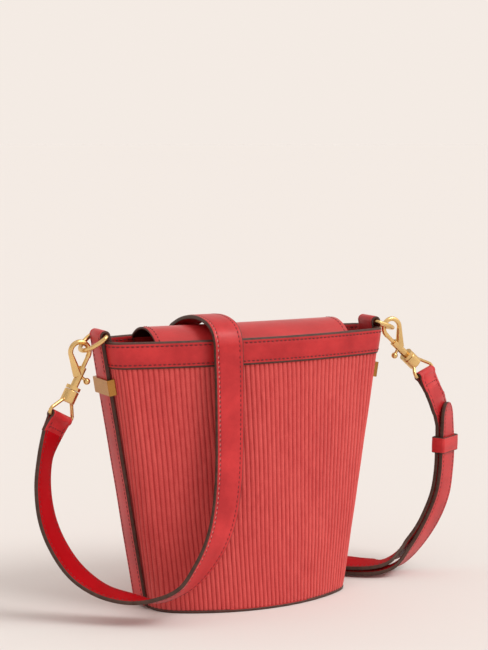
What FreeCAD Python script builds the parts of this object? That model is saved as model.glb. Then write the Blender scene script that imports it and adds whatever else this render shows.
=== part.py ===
"""Bucket bag with a corduroy body, leather trim, brass hardware and a flat shoulder strap.

Millimetres. +Z is up, +X is the bag's right, -Y is its front.
The origin is the centre of the base on the surface that the bag stands on.
Each named piece is one solid, written to parts/NAME.step.
"""
import FreeCAD, Part
import math
import os

os.makedirs("parts", exist_ok=True)
V = FreeCAD.Vector
UP = V(0, 0, 1)
DEPTH = V(0, 1, 0)

# Driving dimensions of the body
BODY_HEIGHT = 190.0
RIM_HALF_WIDTH = 108.0
RIM_HALF_DEPTH = 34.0
RIM_CORNER = 10.0
RIM_END_FLAT = 10.0
BASE_HALF_WIDTH = 77.0
BASE_HALF_DEPTH = 47.5
BASE_CORNER = 26.0
BASE_END_FLAT = 7.0
CORDUROY = 1.8
LINING = 1.0
SKIN_GAP = 0.2
BAND_HEIGHT = 18.5
BAND_PROUD = 0.8
BAND_INSIDE = 3.2
BASE_THICKNESS = 2.0
BOARD_THICKNESS = 1.6

# Leather strap and side strips
STRAP_WIDTH = 22.0
STRAP_THICKNESS = 2.8
STRIP_WIDTH = 20.0
STRIP_PROUD = {"left": 3.3, "right": 2.2}
LOOP_SHIFT = {"left": 0.0, "right": -2.6}
LOOP_LEATHER = 1.8
LOOP_CENTRE_Z = 193.6
LOOP_OUTER = 3.9
LOOP_INNER = LOOP_OUTER - LOOP_LEATHER
STRIP_INSIDE_END_Z = 166.0
FERRULE_CENTRE_Z = 159.0
FERRULE_HEIGHT = 11.0
FERRULE_WALL = 1.3
FERRULE_WIDER = 7.0

# Flap
FLAP_HALF_LENGTH = 76.0
FLAP_RISE = 7.5
FLAP_LEATHER = 1.4
FLAP_LINING = 0.8
FLAP_FRONT_DROP = 8.0
HINGE_Y = 20.3
HINGE_Z = 190.5
FLAP_BASE_LOW_Z = 160.0

# Dee rings and swivel snaps
RING_WIRE = 1.6
RING_BOW = 13.0
RING_BOW_CENTRE = {"left": 3.5, "right": 5.9}
RING_DROOP = {"left": 36.0, "right": 19.0}
HOOK_LEAN = {"left": 27.5, "right": 48.0}
DEE_TURN = {"left": 31.0, "right": 35.0}
DEE_TILT = {"left": 0.0, "right": 32.0}
SIDES = {"left": -1, "right": 1}
AXIS_OFFSET = 6.0
BOW_WIRE = 1.75
BOW_FOOT = 3.3
BOW_RADIUS = 6.8
BARREL_TOP = 10.0
BARREL_END = 24.5
BARREL_RADIUS = 2.7
COLLAR_END = 27.0
COLLAR_RADIUS = 5.2
BLOCK_END = 36.4
PIN_RADIUS = 1.5
PIN_TIP = 2.9
PIN_END = 17.6
BORE_RADIUS = 1.56
KNOB_RADIUS = 2.4
SPRING_RADIUS = 1.3
DEE_WIRE = 1.25
DEE_ATTACH = 34.8
DEE_LENGTH = 13.0
FOLD_LENGTH = 12.0
END_GAP = 1.3
BUCKLE_REACH = 9.0
BUCKLE_WIRE = 1.3
BUCKLE_STANDOFF = 3.2


def at_height(base_value, rim_value, z):
    return base_value + (rim_value - base_value) * z / BODY_HEIGHT


def half_width(z):
    return at_height(BASE_HALF_WIDTH, RIM_HALF_WIDTH, z)


def half_depth_at(x, z, inset):
    """Half depth of the body at a width x, for a skin set in by inset."""
    deep = at_height(BASE_HALF_DEPTH, RIM_HALF_DEPTH, z) - inset
    wide = half_width(z) - inset
    corner = at_height(BASE_CORNER, RIM_CORNER, z) - inset
    flat = at_height(BASE_END_FLAT, RIM_END_FLAT, z)
    front_radius = front_arc_radius(wide, deep, flat, corner)
    return deep - front_radius + math.sqrt(front_radius ** 2 - x ** 2)


def front_arc_radius(wide, deep, flat, corner):
    """Radius of the front arc that meets both corner arcs at a tangent."""
    rest = deep - flat
    return ((wide - corner) ** 2 + rest ** 2 - corner ** 2) / (2 * (rest - corner))


def oval(z, outset):
    """Closed outline of the body at height z: flat ends, corner arcs, wide front and back arcs."""
    wide = half_width(z) + outset
    deep = at_height(BASE_HALF_DEPTH, RIM_HALF_DEPTH, z) + outset
    corner = at_height(BASE_CORNER, RIM_CORNER, z) + outset
    flat = at_height(BASE_END_FLAT, RIM_END_FLAT, z)
    front_radius = front_arc_radius(wide, deep, flat, corner)
    centre_y = deep - front_radius
    turn = math.atan2(flat - centre_y, wide - corner)
    corner_mid = V(wide - corner + corner * math.cos(turn / 2), flat + corner * math.sin(turn / 2), z)
    corner_end = V(wide - corner + corner * math.cos(turn), flat + corner * math.sin(turn), z)
    flat_end = V(wide, flat, z)

    def mirrored(point, sx, sy):
        return V(point.x * sx, point.y * sy, z)

    edges = []
    edges.append(Part.LineSegment(mirrored(flat_end, 1, -1), flat_end).toShape())
    edges.append(Part.Arc(flat_end, corner_mid, corner_end).toShape())
    edges.append(Part.Arc(corner_end, V(0, deep, z), mirrored(corner_end, -1, 1)).toShape())
    edges.append(Part.Arc(mirrored(corner_end, -1, 1), mirrored(corner_mid, -1, 1),
                          mirrored(flat_end, -1, 1)).toShape())
    edges.append(Part.LineSegment(mirrored(flat_end, -1, 1), mirrored(flat_end, -1, -1)).toShape())
    edges.append(Part.Arc(mirrored(flat_end, -1, -1), mirrored(corner_mid, -1, -1),
                          mirrored(corner_end, -1, -1)).toShape())
    edges.append(Part.Arc(mirrored(corner_end, -1, -1), V(0, -deep, z),
                          mirrored(corner_end, 1, -1)).toShape())
    edges.append(Part.Arc(mirrored(corner_end, 1, -1), mirrored(corner_mid, 1, -1),
                          mirrored(flat_end, 1, -1)).toShape())
    return Part.Wire(edges)


def body_solid(outset, low_z, high_z):
    """The space inside the body's outline, moved out by outset, between two heights."""
    return Part.makeLoft([oval(low_z, outset), oval(high_z, outset)], True, True)


def half_space(front):
    """A block over the front or the back half of the bag."""
    low_y = -100.0 if front else 0.0
    return Part.makeBox(400, 100, 400, V(-200, low_y, -50))


def shell_panel(outer, inner, low_z, high_z, front):
    wall = body_solid(outer, low_z, high_z).cut(body_solid(inner, low_z - 1, high_z + 1))
    return wall.common(half_space(front))


def prism(points, direction):
    """A flat polygon pushed along a direction."""
    return Part.Face(Part.makePolygon(points + [points[0]])).extrude(direction)


def rod(start, end, radius):
    return Part.makeCylinder(radius, (end - start).Length, start, end - start)


def bent_rod(points, radius, closed):
    """Straight rods between points with a ball at each corner."""
    ends = points[1:] + ([points[0]] if closed else [])
    shape = rod(points[0], ends[0], radius)
    for start, end in list(zip(points, ends))[1:]:
        shape = shape.fuse(rod(start, end, radius))
        shape = shape.fuse(Part.makeSphere(radius, start))
    if closed:
        shape = shape.fuse(Part.makeSphere(radius, points[0]))
    return shape.removeSplitter()


# Leather side strips with their loops, and the brass ferrules round them

def strip_x(z, outset):
    return half_width(z) + outset


def loop_centre_x(side):
    """Distance of the ring's loop from the bag's middle."""
    return strip_x(LOOP_CENTRE_Z, 0) + LOOP_SHIFT[side]


def side_strip(side):
    """Strip up the bag's end, over the ring's bar and down inside the wall."""
    low_z = BASE_THICKNESS + 0.6
    sign = SIDES[side]
    centre_x = loop_centre_x(side)
    rim = BODY_HEIGHT

    def at(x, z):
        return V(sign * x, -STRIP_WIDTH / 2, z)

    outer_bottom = at(strip_x(low_z, STRIP_PROUD[side]), low_z)
    outer_top = at(centre_x + LOOP_OUTER, LOOP_CENTRE_Z)
    over_top = at(centre_x, LOOP_CENTRE_Z + LOOP_OUTER)
    outer_in = at(centre_x - LOOP_OUTER, LOOP_CENTRE_Z)
    leg_face = at(strip_x(rim, -BAND_INSIDE - LOOP_LEATHER - 0.1), rim - 1.5)
    leg_foot = at(strip_x(STRIP_INSIDE_END_Z, -BAND_INSIDE - LOOP_LEATHER - 0.1), STRIP_INSIDE_END_Z)
    leg_heel = at(strip_x(STRIP_INSIDE_END_Z, -BAND_INSIDE - 0.1), STRIP_INSIDE_END_Z)
    leg_back = at(strip_x(rim, -BAND_INSIDE - 0.1), rim)
    tunnel_in = at(centre_x - LOOP_INNER, rim + 0.8)
    tunnel_in_top = at(centre_x - LOOP_INNER, LOOP_CENTRE_Z)
    tunnel_top = at(centre_x, LOOP_CENTRE_Z + LOOP_INNER)
    tunnel_out_top = at(centre_x + LOOP_INNER, LOOP_CENTRE_Z)
    tunnel_out = at(centre_x + LOOP_INNER, rim + 0.8)
    back_top = at(strip_x(rim, BAND_PROUD), rim)
    back_bottom = at(strip_x(low_z, BAND_PROUD), low_z)

    def line(a, b):
        return Part.LineSegment(a, b).toShape()

    wire = Part.Wire([
        line(outer_bottom, outer_top), Part.Arc(outer_top, over_top, outer_in).toShape(),
        line(outer_in, leg_face), line(leg_face, leg_foot), line(leg_foot, leg_heel),
        line(leg_heel, leg_back), line(leg_back, tunnel_in), line(tunnel_in, tunnel_in_top),
        Part.Arc(tunnel_in_top, tunnel_top, tunnel_out_top).toShape(),
        line(tunnel_out_top, tunnel_out), line(tunnel_out, back_top),
        line(back_top, back_bottom), line(back_bottom, outer_bottom)])
    return Part.Face(wire).extrude(V(0, STRIP_WIDTH, 0))


def strip_slope():
    """Angle of the bag's end from upright, in degrees."""
    return math.degrees(math.atan2(RIM_HALF_WIDTH - BASE_HALF_WIDTH, BODY_HEIGHT))


def ferrule(side):
    """Rectangular brass sleeve round the strip, and the block it fills."""
    top_proud = LOOP_OUTER + LOOP_SHIFT[side]
    share = FERRULE_CENTRE_Z / LOOP_CENTRE_Z
    thick = STRIP_PROUD[side] * (1 - share) + top_proud * share - BAND_PROUD + 0.1
    low = BAND_PROUD - 0.1
    wide = STRIP_WIDTH + 0.3
    opening = Part.makeBox(thick + 0.2, wide, FERRULE_HEIGHT + 2,
                           V(low, -wide / 2, -FERRULE_HEIGHT / 2 - 1))
    block = Part.makeBox(thick + 0.2 + 2 * FERRULE_WALL, STRIP_WIDTH + FERRULE_WIDER, FERRULE_HEIGHT,
                         V(low - FERRULE_WALL, -(STRIP_WIDTH + FERRULE_WIDER) / 2, -FERRULE_HEIGHT / 2))
    upright = [edge for edge in block.Edges if abs(edge.tangentAt(edge.FirstParameter).z) > 0.9]
    sleeve = block.makeFillet(0.9, upright).cut(opening)
    for shape in (sleeve, block):
        shape.rotate(V(0, 0, 0), DEPTH, strip_slope())
        shape.translate(V(half_width(FERRULE_CENTRE_Z), 0, FERRULE_CENTRE_Z))
    if SIDES[side] < 0:
        return sleeve.mirror(V(0, 0, 0), V(1, 0, 0)), block.mirror(V(0, 0, 0), V(1, 0, 0))
    return sleeve, block


# Flap: an arched skin across the mouth, hinged along the back edge

def flap_front_y(x):
    """Front of the flap, kept inside the front wall along its length."""
    return -(half_depth_at(x, BODY_HEIGHT, BAND_INSIDE) - 2.0)


def flap_section(x, outer, thickness):
    """Closed cross-section of one flap layer: outer is how far its skin lies inside the flap's skin."""
    front = flap_front_y(x) + outer
    back = HINGE_Y - outer
    low = BODY_HEIGHT - FLAP_FRONT_DROP
    shoulder = BODY_HEIGHT - 1.0
    crown = BODY_HEIGHT + FLAP_RISE - outer
    crown_y = (front + back) / 2 - 1.0

    def at(y, z):
        return V(x, y, z)

    back_low = at(HINGE_Y + 1.0 - outer * 0.85, HINGE_Z - 0.6 - outer)
    inner_depth = outer + thickness
    inner_back = at(HINGE_Y + 1.0 - inner_depth * 0.85, HINGE_Z - 0.6 - inner_depth)
    outer_arc = Part.Arc(at(front, shoulder), at(crown_y, crown), back_low).toShape()
    inner_arc = Part.Arc(inner_back, at(crown_y, crown - thickness), at(front + thickness, shoulder)).toShape()
    return Part.Wire([
        Part.LineSegment(at(front, low), at(front, shoulder)).toShape(), outer_arc,
        Part.LineSegment(back_low, inner_back).toShape(), inner_arc,
        Part.LineSegment(at(front + thickness, shoulder), at(front + thickness, low)).toShape(),
        Part.LineSegment(at(front + thickness, low), at(front, low)).toShape()])


def flap_layer(outer, thickness, half_length):
    stations = [half_length * k / 4 for k in range(-4, 5)]
    return Part.makeLoft([flap_section(x, outer, thickness) for x in stations], True, True)


def flap_base():
    """Leather sewn inside the back wall, from below the hinge line down to the wall."""
    stations = [FLAP_HALF_LENGTH * k / 4 for k in range(-4, 5)]
    top_z = HINGE_Z - 3.6
    sections = []
    for x in stations:
        low_y = half_depth_at(x, FLAP_BASE_LOW_Z, CORDUROY + SKIN_GAP + LINING) - 0.3
        points = [V(x, HINGE_Y - 0.9, top_z), V(x, HINGE_Y + 0.9, top_z),
                  V(x, low_y, FLAP_BASE_LOW_Z), V(x, low_y - FLAP_LEATHER, FLAP_BASE_LOW_Z)]
        sections.append(Part.makePolygon(points + [points[0]]))
    return Part.makeLoft(sections, True, True)


# Hardware, built hanging straight down with its gate towards +X, then leaned and placed

def ring_pivot(side):
    return V(SIDES[side] * loop_centre_x(side), 0, LOOP_CENTRE_Z)


def hook_pivot(side):
    """Middle of the ring's wire where the snap's bow hangs on it."""
    reach = RING_BOW + RING_BOW_CENTRE[side]
    droop = math.radians(RING_DROOP[side])
    return ring_pivot(side) + V(SIDES[side] * reach * math.cos(droop), 0, -reach * math.sin(droop))


def dee_ring(side):
    """Dee ring: a straight bar in the leather loop and a round bow outside it."""
    corner = 2.5
    bar = RING_BOW - corner
    bow_x = RING_BOW_CENTRE[side]
    diagonal = corner * (1 - math.sqrt(0.5))

    def at(x, y):
        return V(x, y, 0)

    path = Part.Wire([
        Part.LineSegment(at(0, -bar), at(0, bar)).toShape(),
        Part.Arc(at(0, bar), at(diagonal, RING_BOW - diagonal), at(corner, RING_BOW)).toShape(),
        Part.LineSegment(at(corner, RING_BOW), at(bow_x, RING_BOW)).toShape(),
        Part.Arc(at(bow_x, RING_BOW), at(bow_x + RING_BOW, 0), at(bow_x, -RING_BOW)).toShape(),
        Part.LineSegment(at(bow_x, -RING_BOW), at(corner, -RING_BOW)).toShape(),
        Part.Arc(at(corner, -RING_BOW), at(diagonal, -RING_BOW + diagonal), at(0, -bar)).toShape()])
    section = Part.Wire([Part.makeCircle(RING_WIRE, at(0, 0), DEPTH)])
    ring = path.makePipeShell([section], True, True)
    if SIDES[side] < 0:
        ring = ring.mirror(V(0, 0, 0), V(1, 0, 0))
    ring.rotate(V(0, 0, 0), DEPTH, SIDES[side] * RING_DROOP[side])
    ring.translate(ring_pivot(side))
    return ring


def place_on_hook(shape, side):
    """Move a piece from the snap's own frame to its place. The gate faces the bag."""
    if SIDES[side] > 0:
        shape = shape.mirror(V(0, 0, 0), V(1, 0, 0))
    shape.rotate(V(0, 0, 0), DEPTH, -SIDES[side] * HOOK_LEAN[side])
    shape.translate(hook_pivot(side))
    return shape


def hook_down(side):
    lean = math.radians(HOOK_LEAN[side])
    return V(SIDES[side] * math.sin(lean), 0, -math.cos(lean))


def hook_gate(side):
    lean = math.radians(HOOK_LEAN[side])
    return V(-SIDES[side] * math.cos(lean), 0, -math.sin(lean))


def snap_hook(side):
    """Bow, barrel with its bore and knob slot, collar and swivel post in one casting."""
    centre = V(-0.8, 0, -1.5)
    tip = V(AXIS_OFFSET, 0, -PIN_TIP + 0.2)
    shoulder = V(AXIS_OFFSET, 0, centre.z)
    left = V(centre.x - BOW_RADIUS, 0, centre.z)
    foot_angle = math.radians(217)
    arc_end = centre + V(BOW_RADIUS * math.cos(foot_angle), 0, BOW_RADIUS * math.sin(foot_angle))
    arc = Part.Arc(shoulder, centre + V(-0.3, 0, BOW_RADIUS), left).toShape()
    path = Part.Wire([Part.LineSegment(tip, shoulder).toShape(), arc,
                      Part.Arc(left, centre + V(BOW_RADIUS * math.cos(math.radians(198)), 0,
                                                BOW_RADIUS * math.sin(math.radians(198))), arc_end).toShape()])
    section = Part.Wire([Part.makeCircle(BOW_WIRE, tip, UP)])
    hook = path.makePipeShell([section], True, True)
    foot = V(AXIS_OFFSET - 1.0, 0, -BARREL_TOP - 6.5)
    taper = Part.makeCone(BOW_WIRE, BOW_FOOT, (foot - arc_end).Length, arc_end, foot - arc_end)
    barrel = rod(V(AXIS_OFFSET, 0, -BARREL_TOP), V(AXIS_OFFSET, 0, -BARREL_END), BARREL_RADIUS)
    collar = rod(V(AXIS_OFFSET, 0, -BARREL_END), V(AXIS_OFFSET, 0, -COLLAR_END), COLLAR_RADIUS)
    post = rod(V(AXIS_OFFSET, 0, -COLLAR_END), V(AXIS_OFFSET, 0, -COLLAR_END - 3.9), 1.5)
    head = rod(V(AXIS_OFFSET, 0, -COLLAR_END - 3.9), V(AXIS_OFFSET, 0, -COLLAR_END - 5.2), 2.6)
    for piece in (Part.makeSphere(BOW_WIRE, arc_end), taper, barrel, collar, post, head):
        hook = hook.fuse(piece)
    bore = rod(V(AXIS_OFFSET, 0, -BARREL_TOP + 9), V(AXIS_OFFSET, 0, -BARREL_END - 1.2), BORE_RADIUS)
    way_in = rod(V(AXIS_OFFSET, 0, -PIN_TIP - 0.1), V(AXIS_OFFSET, 0, -BARREL_TOP), BORE_RADIUS + 0.4)
    bore = bore.common(Part.makeBox(20, 20, 60, V(-5, -10, -BARREL_TOP - 60)))
    slot = Part.makeBox(6, 2.9, 9.6, V(AXIS_OFFSET + 0.5, -1.45, -BARREL_END + 0.4))
    return hook.cut(way_in).cut(bore).cut(slot).removeSplitter()


def bolt():
    """Sliding pin that closes the bow, with its side stem and ball knob."""
    stem_z = -PIN_END + 1.5
    knob = V(AXIS_OFFSET + 6.9, 0, stem_z - 1.5)
    pin = rod(V(AXIS_OFFSET, 0, -PIN_TIP), V(AXIS_OFFSET, 0, -PIN_END), PIN_RADIUS)
    stem = rod(V(AXIS_OFFSET, 0, stem_z), knob, 1.1)
    return pin.fuse(stem).fuse(Part.makeSphere(KNOB_RADIUS, knob)).removeSplitter()


def bolt_spring():
    """Coil spring between the bolt's end and the bottom of the bore, as a plain rod."""
    top = V(AXIS_OFFSET, 0, -PIN_END - 0.4)
    bottom = V(AXIS_OFFSET, 0, -BARREL_END - 0.9)
    return rod(top, bottom, SPRING_RADIUS)


def swivel_block():
    """Turning block on the post, hollow round the post's head."""
    top = -COLLAR_END - 0.4
    block = rod(V(AXIS_OFFSET, 0, top), V(AXIS_OFFSET, 0, -BLOCK_END), COLLAR_RADIUS)
    edges = [edge for edge in block.Edges if edge.Closed]
    block = block.makeFillet(0.8, edges)
    neck = rod(V(AXIS_OFFSET, 0, top + 1), V(AXIS_OFFSET, 0, -COLLAR_END - 3.5), 1.56)
    chamber = rod(V(AXIS_OFFSET, 0, -COLLAR_END - 3.5), V(AXIS_OFFSET, 0, -COLLAR_END - 5.6), 3.0)
    return block.cut(neck).cut(chamber)


def dee_frame(side):
    """Where the dee leaves the block, the way down to its bar, and the bar's untilted direction."""
    turn = math.radians(DEE_TURN[side])
    bar = hook_gate(side) * (math.cos(turn) * -SIDES[side]) + DEPTH * math.sin(turn)
    down = hook_down(side)
    return hook_pivot(side) + down * DEE_ATTACH + hook_gate(side) * AXIS_OFFSET, down, bar


def bar_frame(side):
    """Middle of the dee's bar, direction down the strap from it, and the bar's direction."""
    origin, down, bar = dee_frame(side)
    tilt = math.radians(DEE_TILT[side])
    return (origin + down * DEE_LENGTH, down * math.cos(tilt) - bar * math.sin(tilt),
            bar * math.cos(tilt) + down * math.sin(tilt))


def strap_dee(side):
    """Wire dee that carries the strap's fold."""
    origin, down, level = dee_frame(side)
    middle, strap_down, bar = bar_frame(side)
    half_bar = STRAP_WIDTH / 2 + 1.0 + DEE_WIRE
    points = [origin - level * 4.0, origin + level * 4.0, origin + down * 1.6 + level * 6.2]
    corner = [(-4.4, half_bar - 0.6), (-2.4, half_bar), (-0.8, half_bar - 0.7), (0.0, half_bar - 2.2)]
    points += [middle + strap_down * a + bar * b for a, b in corner]
    points += [middle + strap_down * a - bar * b for a, b in reversed(corner)]
    points.append(origin + down * 1.6 - level * 6.2)
    return bent_rod(points, DEE_WIRE, True)


def strap_fold(side):
    """The strap's end, folded round the dee's bar and closed on itself."""
    centre, down, bar = bar_frame(side)
    normal = bar.cross(down)
    eye = DEE_WIRE + 0.35
    outer = eye + 1.7
    half = STRAP_THICKNESS / 2
    edge = centre - bar * (STRAP_WIDTH / 2)
    length = bar * STRAP_WIDTH
    round_end = Part.makeCylinder(outer, STRAP_WIDTH, edge, bar)
    neck = [edge + normal * outer, edge + down * 7.0 + normal * half,
            edge + down * FOLD_LENGTH + normal * half, edge + down * FOLD_LENGTH - normal * half,
            edge + down * 7.0 - normal * half, edge - normal * outer]
    hole = Part.makeCylinder(eye, STRAP_WIDTH + 2, edge - bar, bar)
    return round_end.fuse(prism(neck, length)).cut(hole).removeSplitter()


# The flat strap: hand-placed points with the strap's width direction at each

LEFT_RUN = [
    (-150.3, -2.6, 113.2, 0.67, 0.69, -0.28), (-153.4, -5.4, 93.0, 0.71, 0.69, -0.13),
    (-151.9, -8.8, 71.4, 0.73, 0.69, 0.04), (-145.1, -12.2, 51.6, 0.68, 0.71, 0.16),
    (-134.3, -17.7, 34.2, 0.65, 0.74, 0.17), (-119.9, -27.0, 22.2, 0.60, 0.79, 0.08),
    (-104.0, -38.0, 17.2, 0.56, 0.83, 0.0), (-88.7, -48.2, 16.5, 0.52, 0.80, -0.29),
    (-73, -55.5, 23.5, 0.58, 0.74, -0.33), (-59.5, -57.5, 37, 0.70, 0.55, -0.45),
    (-48.5, -57, 53, 0.84, 0.37, -0.38), (-40.5, -54.5, 72, 0.94, 0.22, -0.22),
    (-35.5, -51, 97, 0.98, 0.15, -0.07), (-33, -47.5, 125, 0.99, 0.10, 0),
    (-31, -43.5, 155, 1, 0.05, 0), (-30, -40.2, 181, 1, 0, 0)]
ARCH = [
    (-30, -40.1, 182.2, 1, 0, 0), (-30, -39.4, 188.5, 1, 0, 0), (-30, -35.8, 195.5, 1, 0, 0),
    (-30, -27.5, 200.6, 1, 0, 0), (-30, -14, 203.2, 1, 0, 0), (-30, 0, 203, 1, 0, 0),
    (-30, 14, 200.6, 1, 0, 0), (-30, 25, 197, 1, 0, 0), (-30, 34, 192.8, 1, 0, 0),
    (-30, 38.8, 187, 1, 0, 0), (-30, 40.2, 180, 1, 0, 0)]
RIGHT_RUN = [
    (-30, 40.4, 179.0, 1, 0, 0), (-29, 43.5, 150, 1, 0, 0.03), (-25, 47.5, 118, 0.99, 0, 0.12),
    (-16, 52, 88, 0.95, 0.05, 0.30), (0, 56.5, 62, 0.86, 0.15, 0.48),
    (20, 60, 40, 0.74, 0.40, 0.45), (42, 59, 22, 0.62, 0.66, 0.36), (64, 49, 12, 0.60, 0.75, 0.22),
    (83, 30, 6.2, 0.62, 0.75, 0.16), (100, 11, 4.2, 0.55, 0.82, 0.12),
    (116, 0, 4.1, 0.45, 0.89, -0.03), (131, -2, 7.6, 0.53, 0.80, -0.26),
    (143.3, -1.9, 16.0, 0.44, 0.68, -0.58), (155.2, -1.5, 28.7, 0.62, 0.58, -0.53),
    (164.9, -1.4, 43.1, 0.75, 0.51, -0.41), (171.4, -1.4, 58.3, 0.83, 0.50, -0.25),
    (174.3, -1.3, 75.2, 0.85, 0.52, -0.10), (175.2, -1.3, 92.0, 0.86, 0.52, -0.01),
    (174.9, -1.6, 110.0, 0.81, 0.58, 0.06), (173.7, -2.6, 128.0, 0.76, 0.65, 0.05)]
SHORT_RUN_TOP = [
    (162.6, -5.2, 132.3, 0.85, 0.47, 0.18), (166.7, -3.1, 125.4, 0.82, 0.55, 0.12),
    (170.0, -0.5, 118.8, 0.81, 0.58, 0.08), (172.5, 1.5, 111.2, 0.82, 0.57, 0.04)]
BUCKLE_POINT = 5
KEEPER_POINT = 17
KEEPER_RISE = 4.0
LAYER_STEP = STRAP_THICKNESS + 0.9
LOOSE_STEPS = {9: 0.4, 10: 1.2, 11: 2.2, 12: 1.2}


def spline_point(points, index, t):
    """Catmull-Rom point between points[index] and points[index + 1]."""
    last = len(points) - 1
    p0 = points[max(index - 1, 0)]
    p1 = points[index]
    p2 = points[index + 1]
    p3 = points[min(index + 2, last)]
    a = p1 * 2
    b = p2 - p0
    c = p0 * 2 - p1 * 5 + p2 * 4 - p3
    d = p1 * 3 - p0 - p2 * 3 + p3
    return (a + b * t + c * (t * t) + d * (t * t * t)) * 0.5


def strap_stations(route, per_span):
    centres = [V(*item[:3]) for item in route]
    widths = [V(*item[3:]) for item in route]
    stations = []
    for index in range(len(route) - 1):
        for step in range(per_span):
            t = step / per_span
            stations.append((spline_point(centres, index, t), spline_point(widths, index, t)))
    stations.append((centres[-1], widths[-1]))
    return stations


def ribbon(route, per_span=3, thickness=STRAP_THICKNESS, tip=False):
    """Solid flat strap along a route, and its centre line's length."""
    stations = strap_stations(route, per_span)
    count = len(stations)
    sections = []
    length = 0.0
    for index, (centre, width) in enumerate(stations):
        before = stations[max(index - 1, 0)][0]
        after = stations[min(index + 1, count - 1)][0]
        tangent = (after - before).normalize()
        across = (width - tangent * width.dot(tangent)).normalize()
        normal = tangent.cross(across) * (thickness / 2)
        half = STRAP_WIDTH / 2
        if tip and index > count - 4:
            half *= (1.0, 0.93, 0.78, 0.45)[index - (count - 4)]
        across = across * half
        corners = [centre - across - normal, centre + across - normal,
                   centre + across + normal, centre - across + normal]
        sections.append(Part.makePolygon(corners + [corners[0]]))
        if index:
            length += (centre - stations[index - 1][0]).Length
    return Part.makeLoft(sections, True, True), length


def with_start(side, route):
    """Route that starts just below the fold's end."""
    middle, down, bar = bar_frame(side)
    point = middle + down * (FOLD_LENGTH + END_GAP)
    return [(point.x, point.y, point.z, bar.x, bar.y, bar.z)] + route


def strap_axes(route, index):
    """Centre, direction, width direction and inward normal of the strap at one of its points."""
    centre = V(*route[index][:3])
    along = (V(*route[index + 1][:3]) - V(*route[index - 1][:3])).normalize()
    width = V(*route[index][3:])
    across = (width - along * width.dot(along)).normalize()
    return centre, along, across, along.cross(across)


def short_route():
    """The short strap lies inside the long strap, from the buckle to just above the keeper."""
    route = with_start("right", SHORT_RUN_TOP)
    for index in range(KEEPER_POINT, BUCKLE_POINT - 1, -1):
        centre, along, across, inward = strap_axes(RIGHT_RUN, index)
        step = LAYER_STEP + LOOSE_STEPS.get(index, 0.0)
        point = centre + inward * step
        route.append((point.x, point.y, point.z, across.x, across.y, across.z))
    return route


# Keeper, buckle and prong on the strap's right side

def keeper():
    """Leather loop round the long strap and the short strap."""
    centre, along, across, normal = strap_axes(RIGHT_RUN, KEEPER_POINT)
    centre = centre + normal * (LAYER_STEP / 2) + along * KEEPER_RISE

    def block(half_across, half_normal, half_along):
        corners = [(-1, -1), (1, -1), (1, 1), (-1, 1)]
        points = [centre + across * (half_across * i) + normal * (half_normal * j) - along * half_along
                  for i, j in corners]
        return prism(points, along * (2 * half_along))

    outer = block(STRAP_WIDTH / 2 + 2.1, LAYER_STEP / 2 + STRAP_THICKNESS / 2 + 2.2, 6.0)
    rounded = [edge for edge in outer.Edges if abs(edge.tangentAt(edge.FirstParameter).dot(along)) > 0.9]
    inner = block(STRAP_WIDTH / 2 + 0.8, LAYER_STEP / 2 + STRAP_THICKNESS / 2 + 1.0, 7.0)
    return outer.makeFillet(1.4, rounded).cut(inner)


def buckle_axes():
    """Buckle frame's centre on the strap's outer face, its directions and outward normal."""
    centre, along, across, inward = strap_axes(RIGHT_RUN, BUCKLE_POINT)
    return centre - inward * (STRAP_THICKNESS / 2 + BUCKLE_STANDOFF), along, across, inward * -1


def buckle_frame():
    """Rectangular wire frame on the outside of the long strap."""
    centre, along, across, outward = buckle_axes()
    half = STRAP_WIDTH / 2 + 2.2
    corners = [(-BUCKLE_REACH, -half), (BUCKLE_REACH, -half), (BUCKLE_REACH, half), (-BUCKLE_REACH, half)]
    points = [centre + along * a + across * b for a, b in corners]
    return bent_rod(points, BUCKLE_WIRE, True)


def buckle_prong():
    """Prong hung on one end of the frame, resting across the other end."""
    centre, along, across, outward = buckle_axes()
    hub_centre = centre - along * BUCKLE_REACH
    hub = Part.makeCylinder(2.4, 3.4, hub_centre - across * 1.7, across)
    hole = Part.makeCylinder(BUCKLE_WIRE + 0.06, 6, hub_centre - across * 3, across)
    lift = outward * (BUCKLE_WIRE + 1.3)
    needle = rod(hub_centre + outward * 1.9, centre + along * (BUCKLE_REACH + 1.0) + lift, 0.9)
    return hub.fuse(needle).cut(hole).removeSplitter()


parts = {}
ferrule_blocks = []
for side in SIDES:
    sleeve, block = ferrule(side)
    parts["ferrule_" + side] = sleeve
    parts["side_strip_" + side] = side_strip(side)
    ferrule_blocks.append(block)

band_low = BODY_HEIGHT - BAND_HEIGHT
for name, front in (("front", True), ("back", False)):
    panel = shell_panel(0, -CORDUROY, BASE_THICKNESS, band_low, front)
    for block in ferrule_blocks:
        panel = panel.cut(block)
    parts["corduroy_" + name] = panel
    parts["top_band_" + name] = shell_panel(BAND_PROUD, -BAND_INSIDE, band_low, BODY_HEIGHT, front)

parts["base_panel"] = body_solid(0, 0, BASE_THICKNESS)
board_top = BASE_THICKNESS + BOARD_THICKNESS
parts["base_board"] = body_solid(-CORDUROY - 0.2, BASE_THICKNESS, board_top)
cup = body_solid(-CORDUROY - SKIN_GAP, board_top, band_low)
parts["lining"] = cup.cut(body_solid(-CORDUROY - SKIN_GAP - LINING, board_top + LINING, band_low + 1))

parts["flap_leather"] = flap_layer(0, FLAP_LEATHER, FLAP_HALF_LENGTH)
parts["flap_lining"] = flap_layer(FLAP_LEATHER + 0.1, FLAP_LINING, FLAP_HALF_LENGTH - 1.5)
parts["flap_base"] = flap_base()

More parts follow.
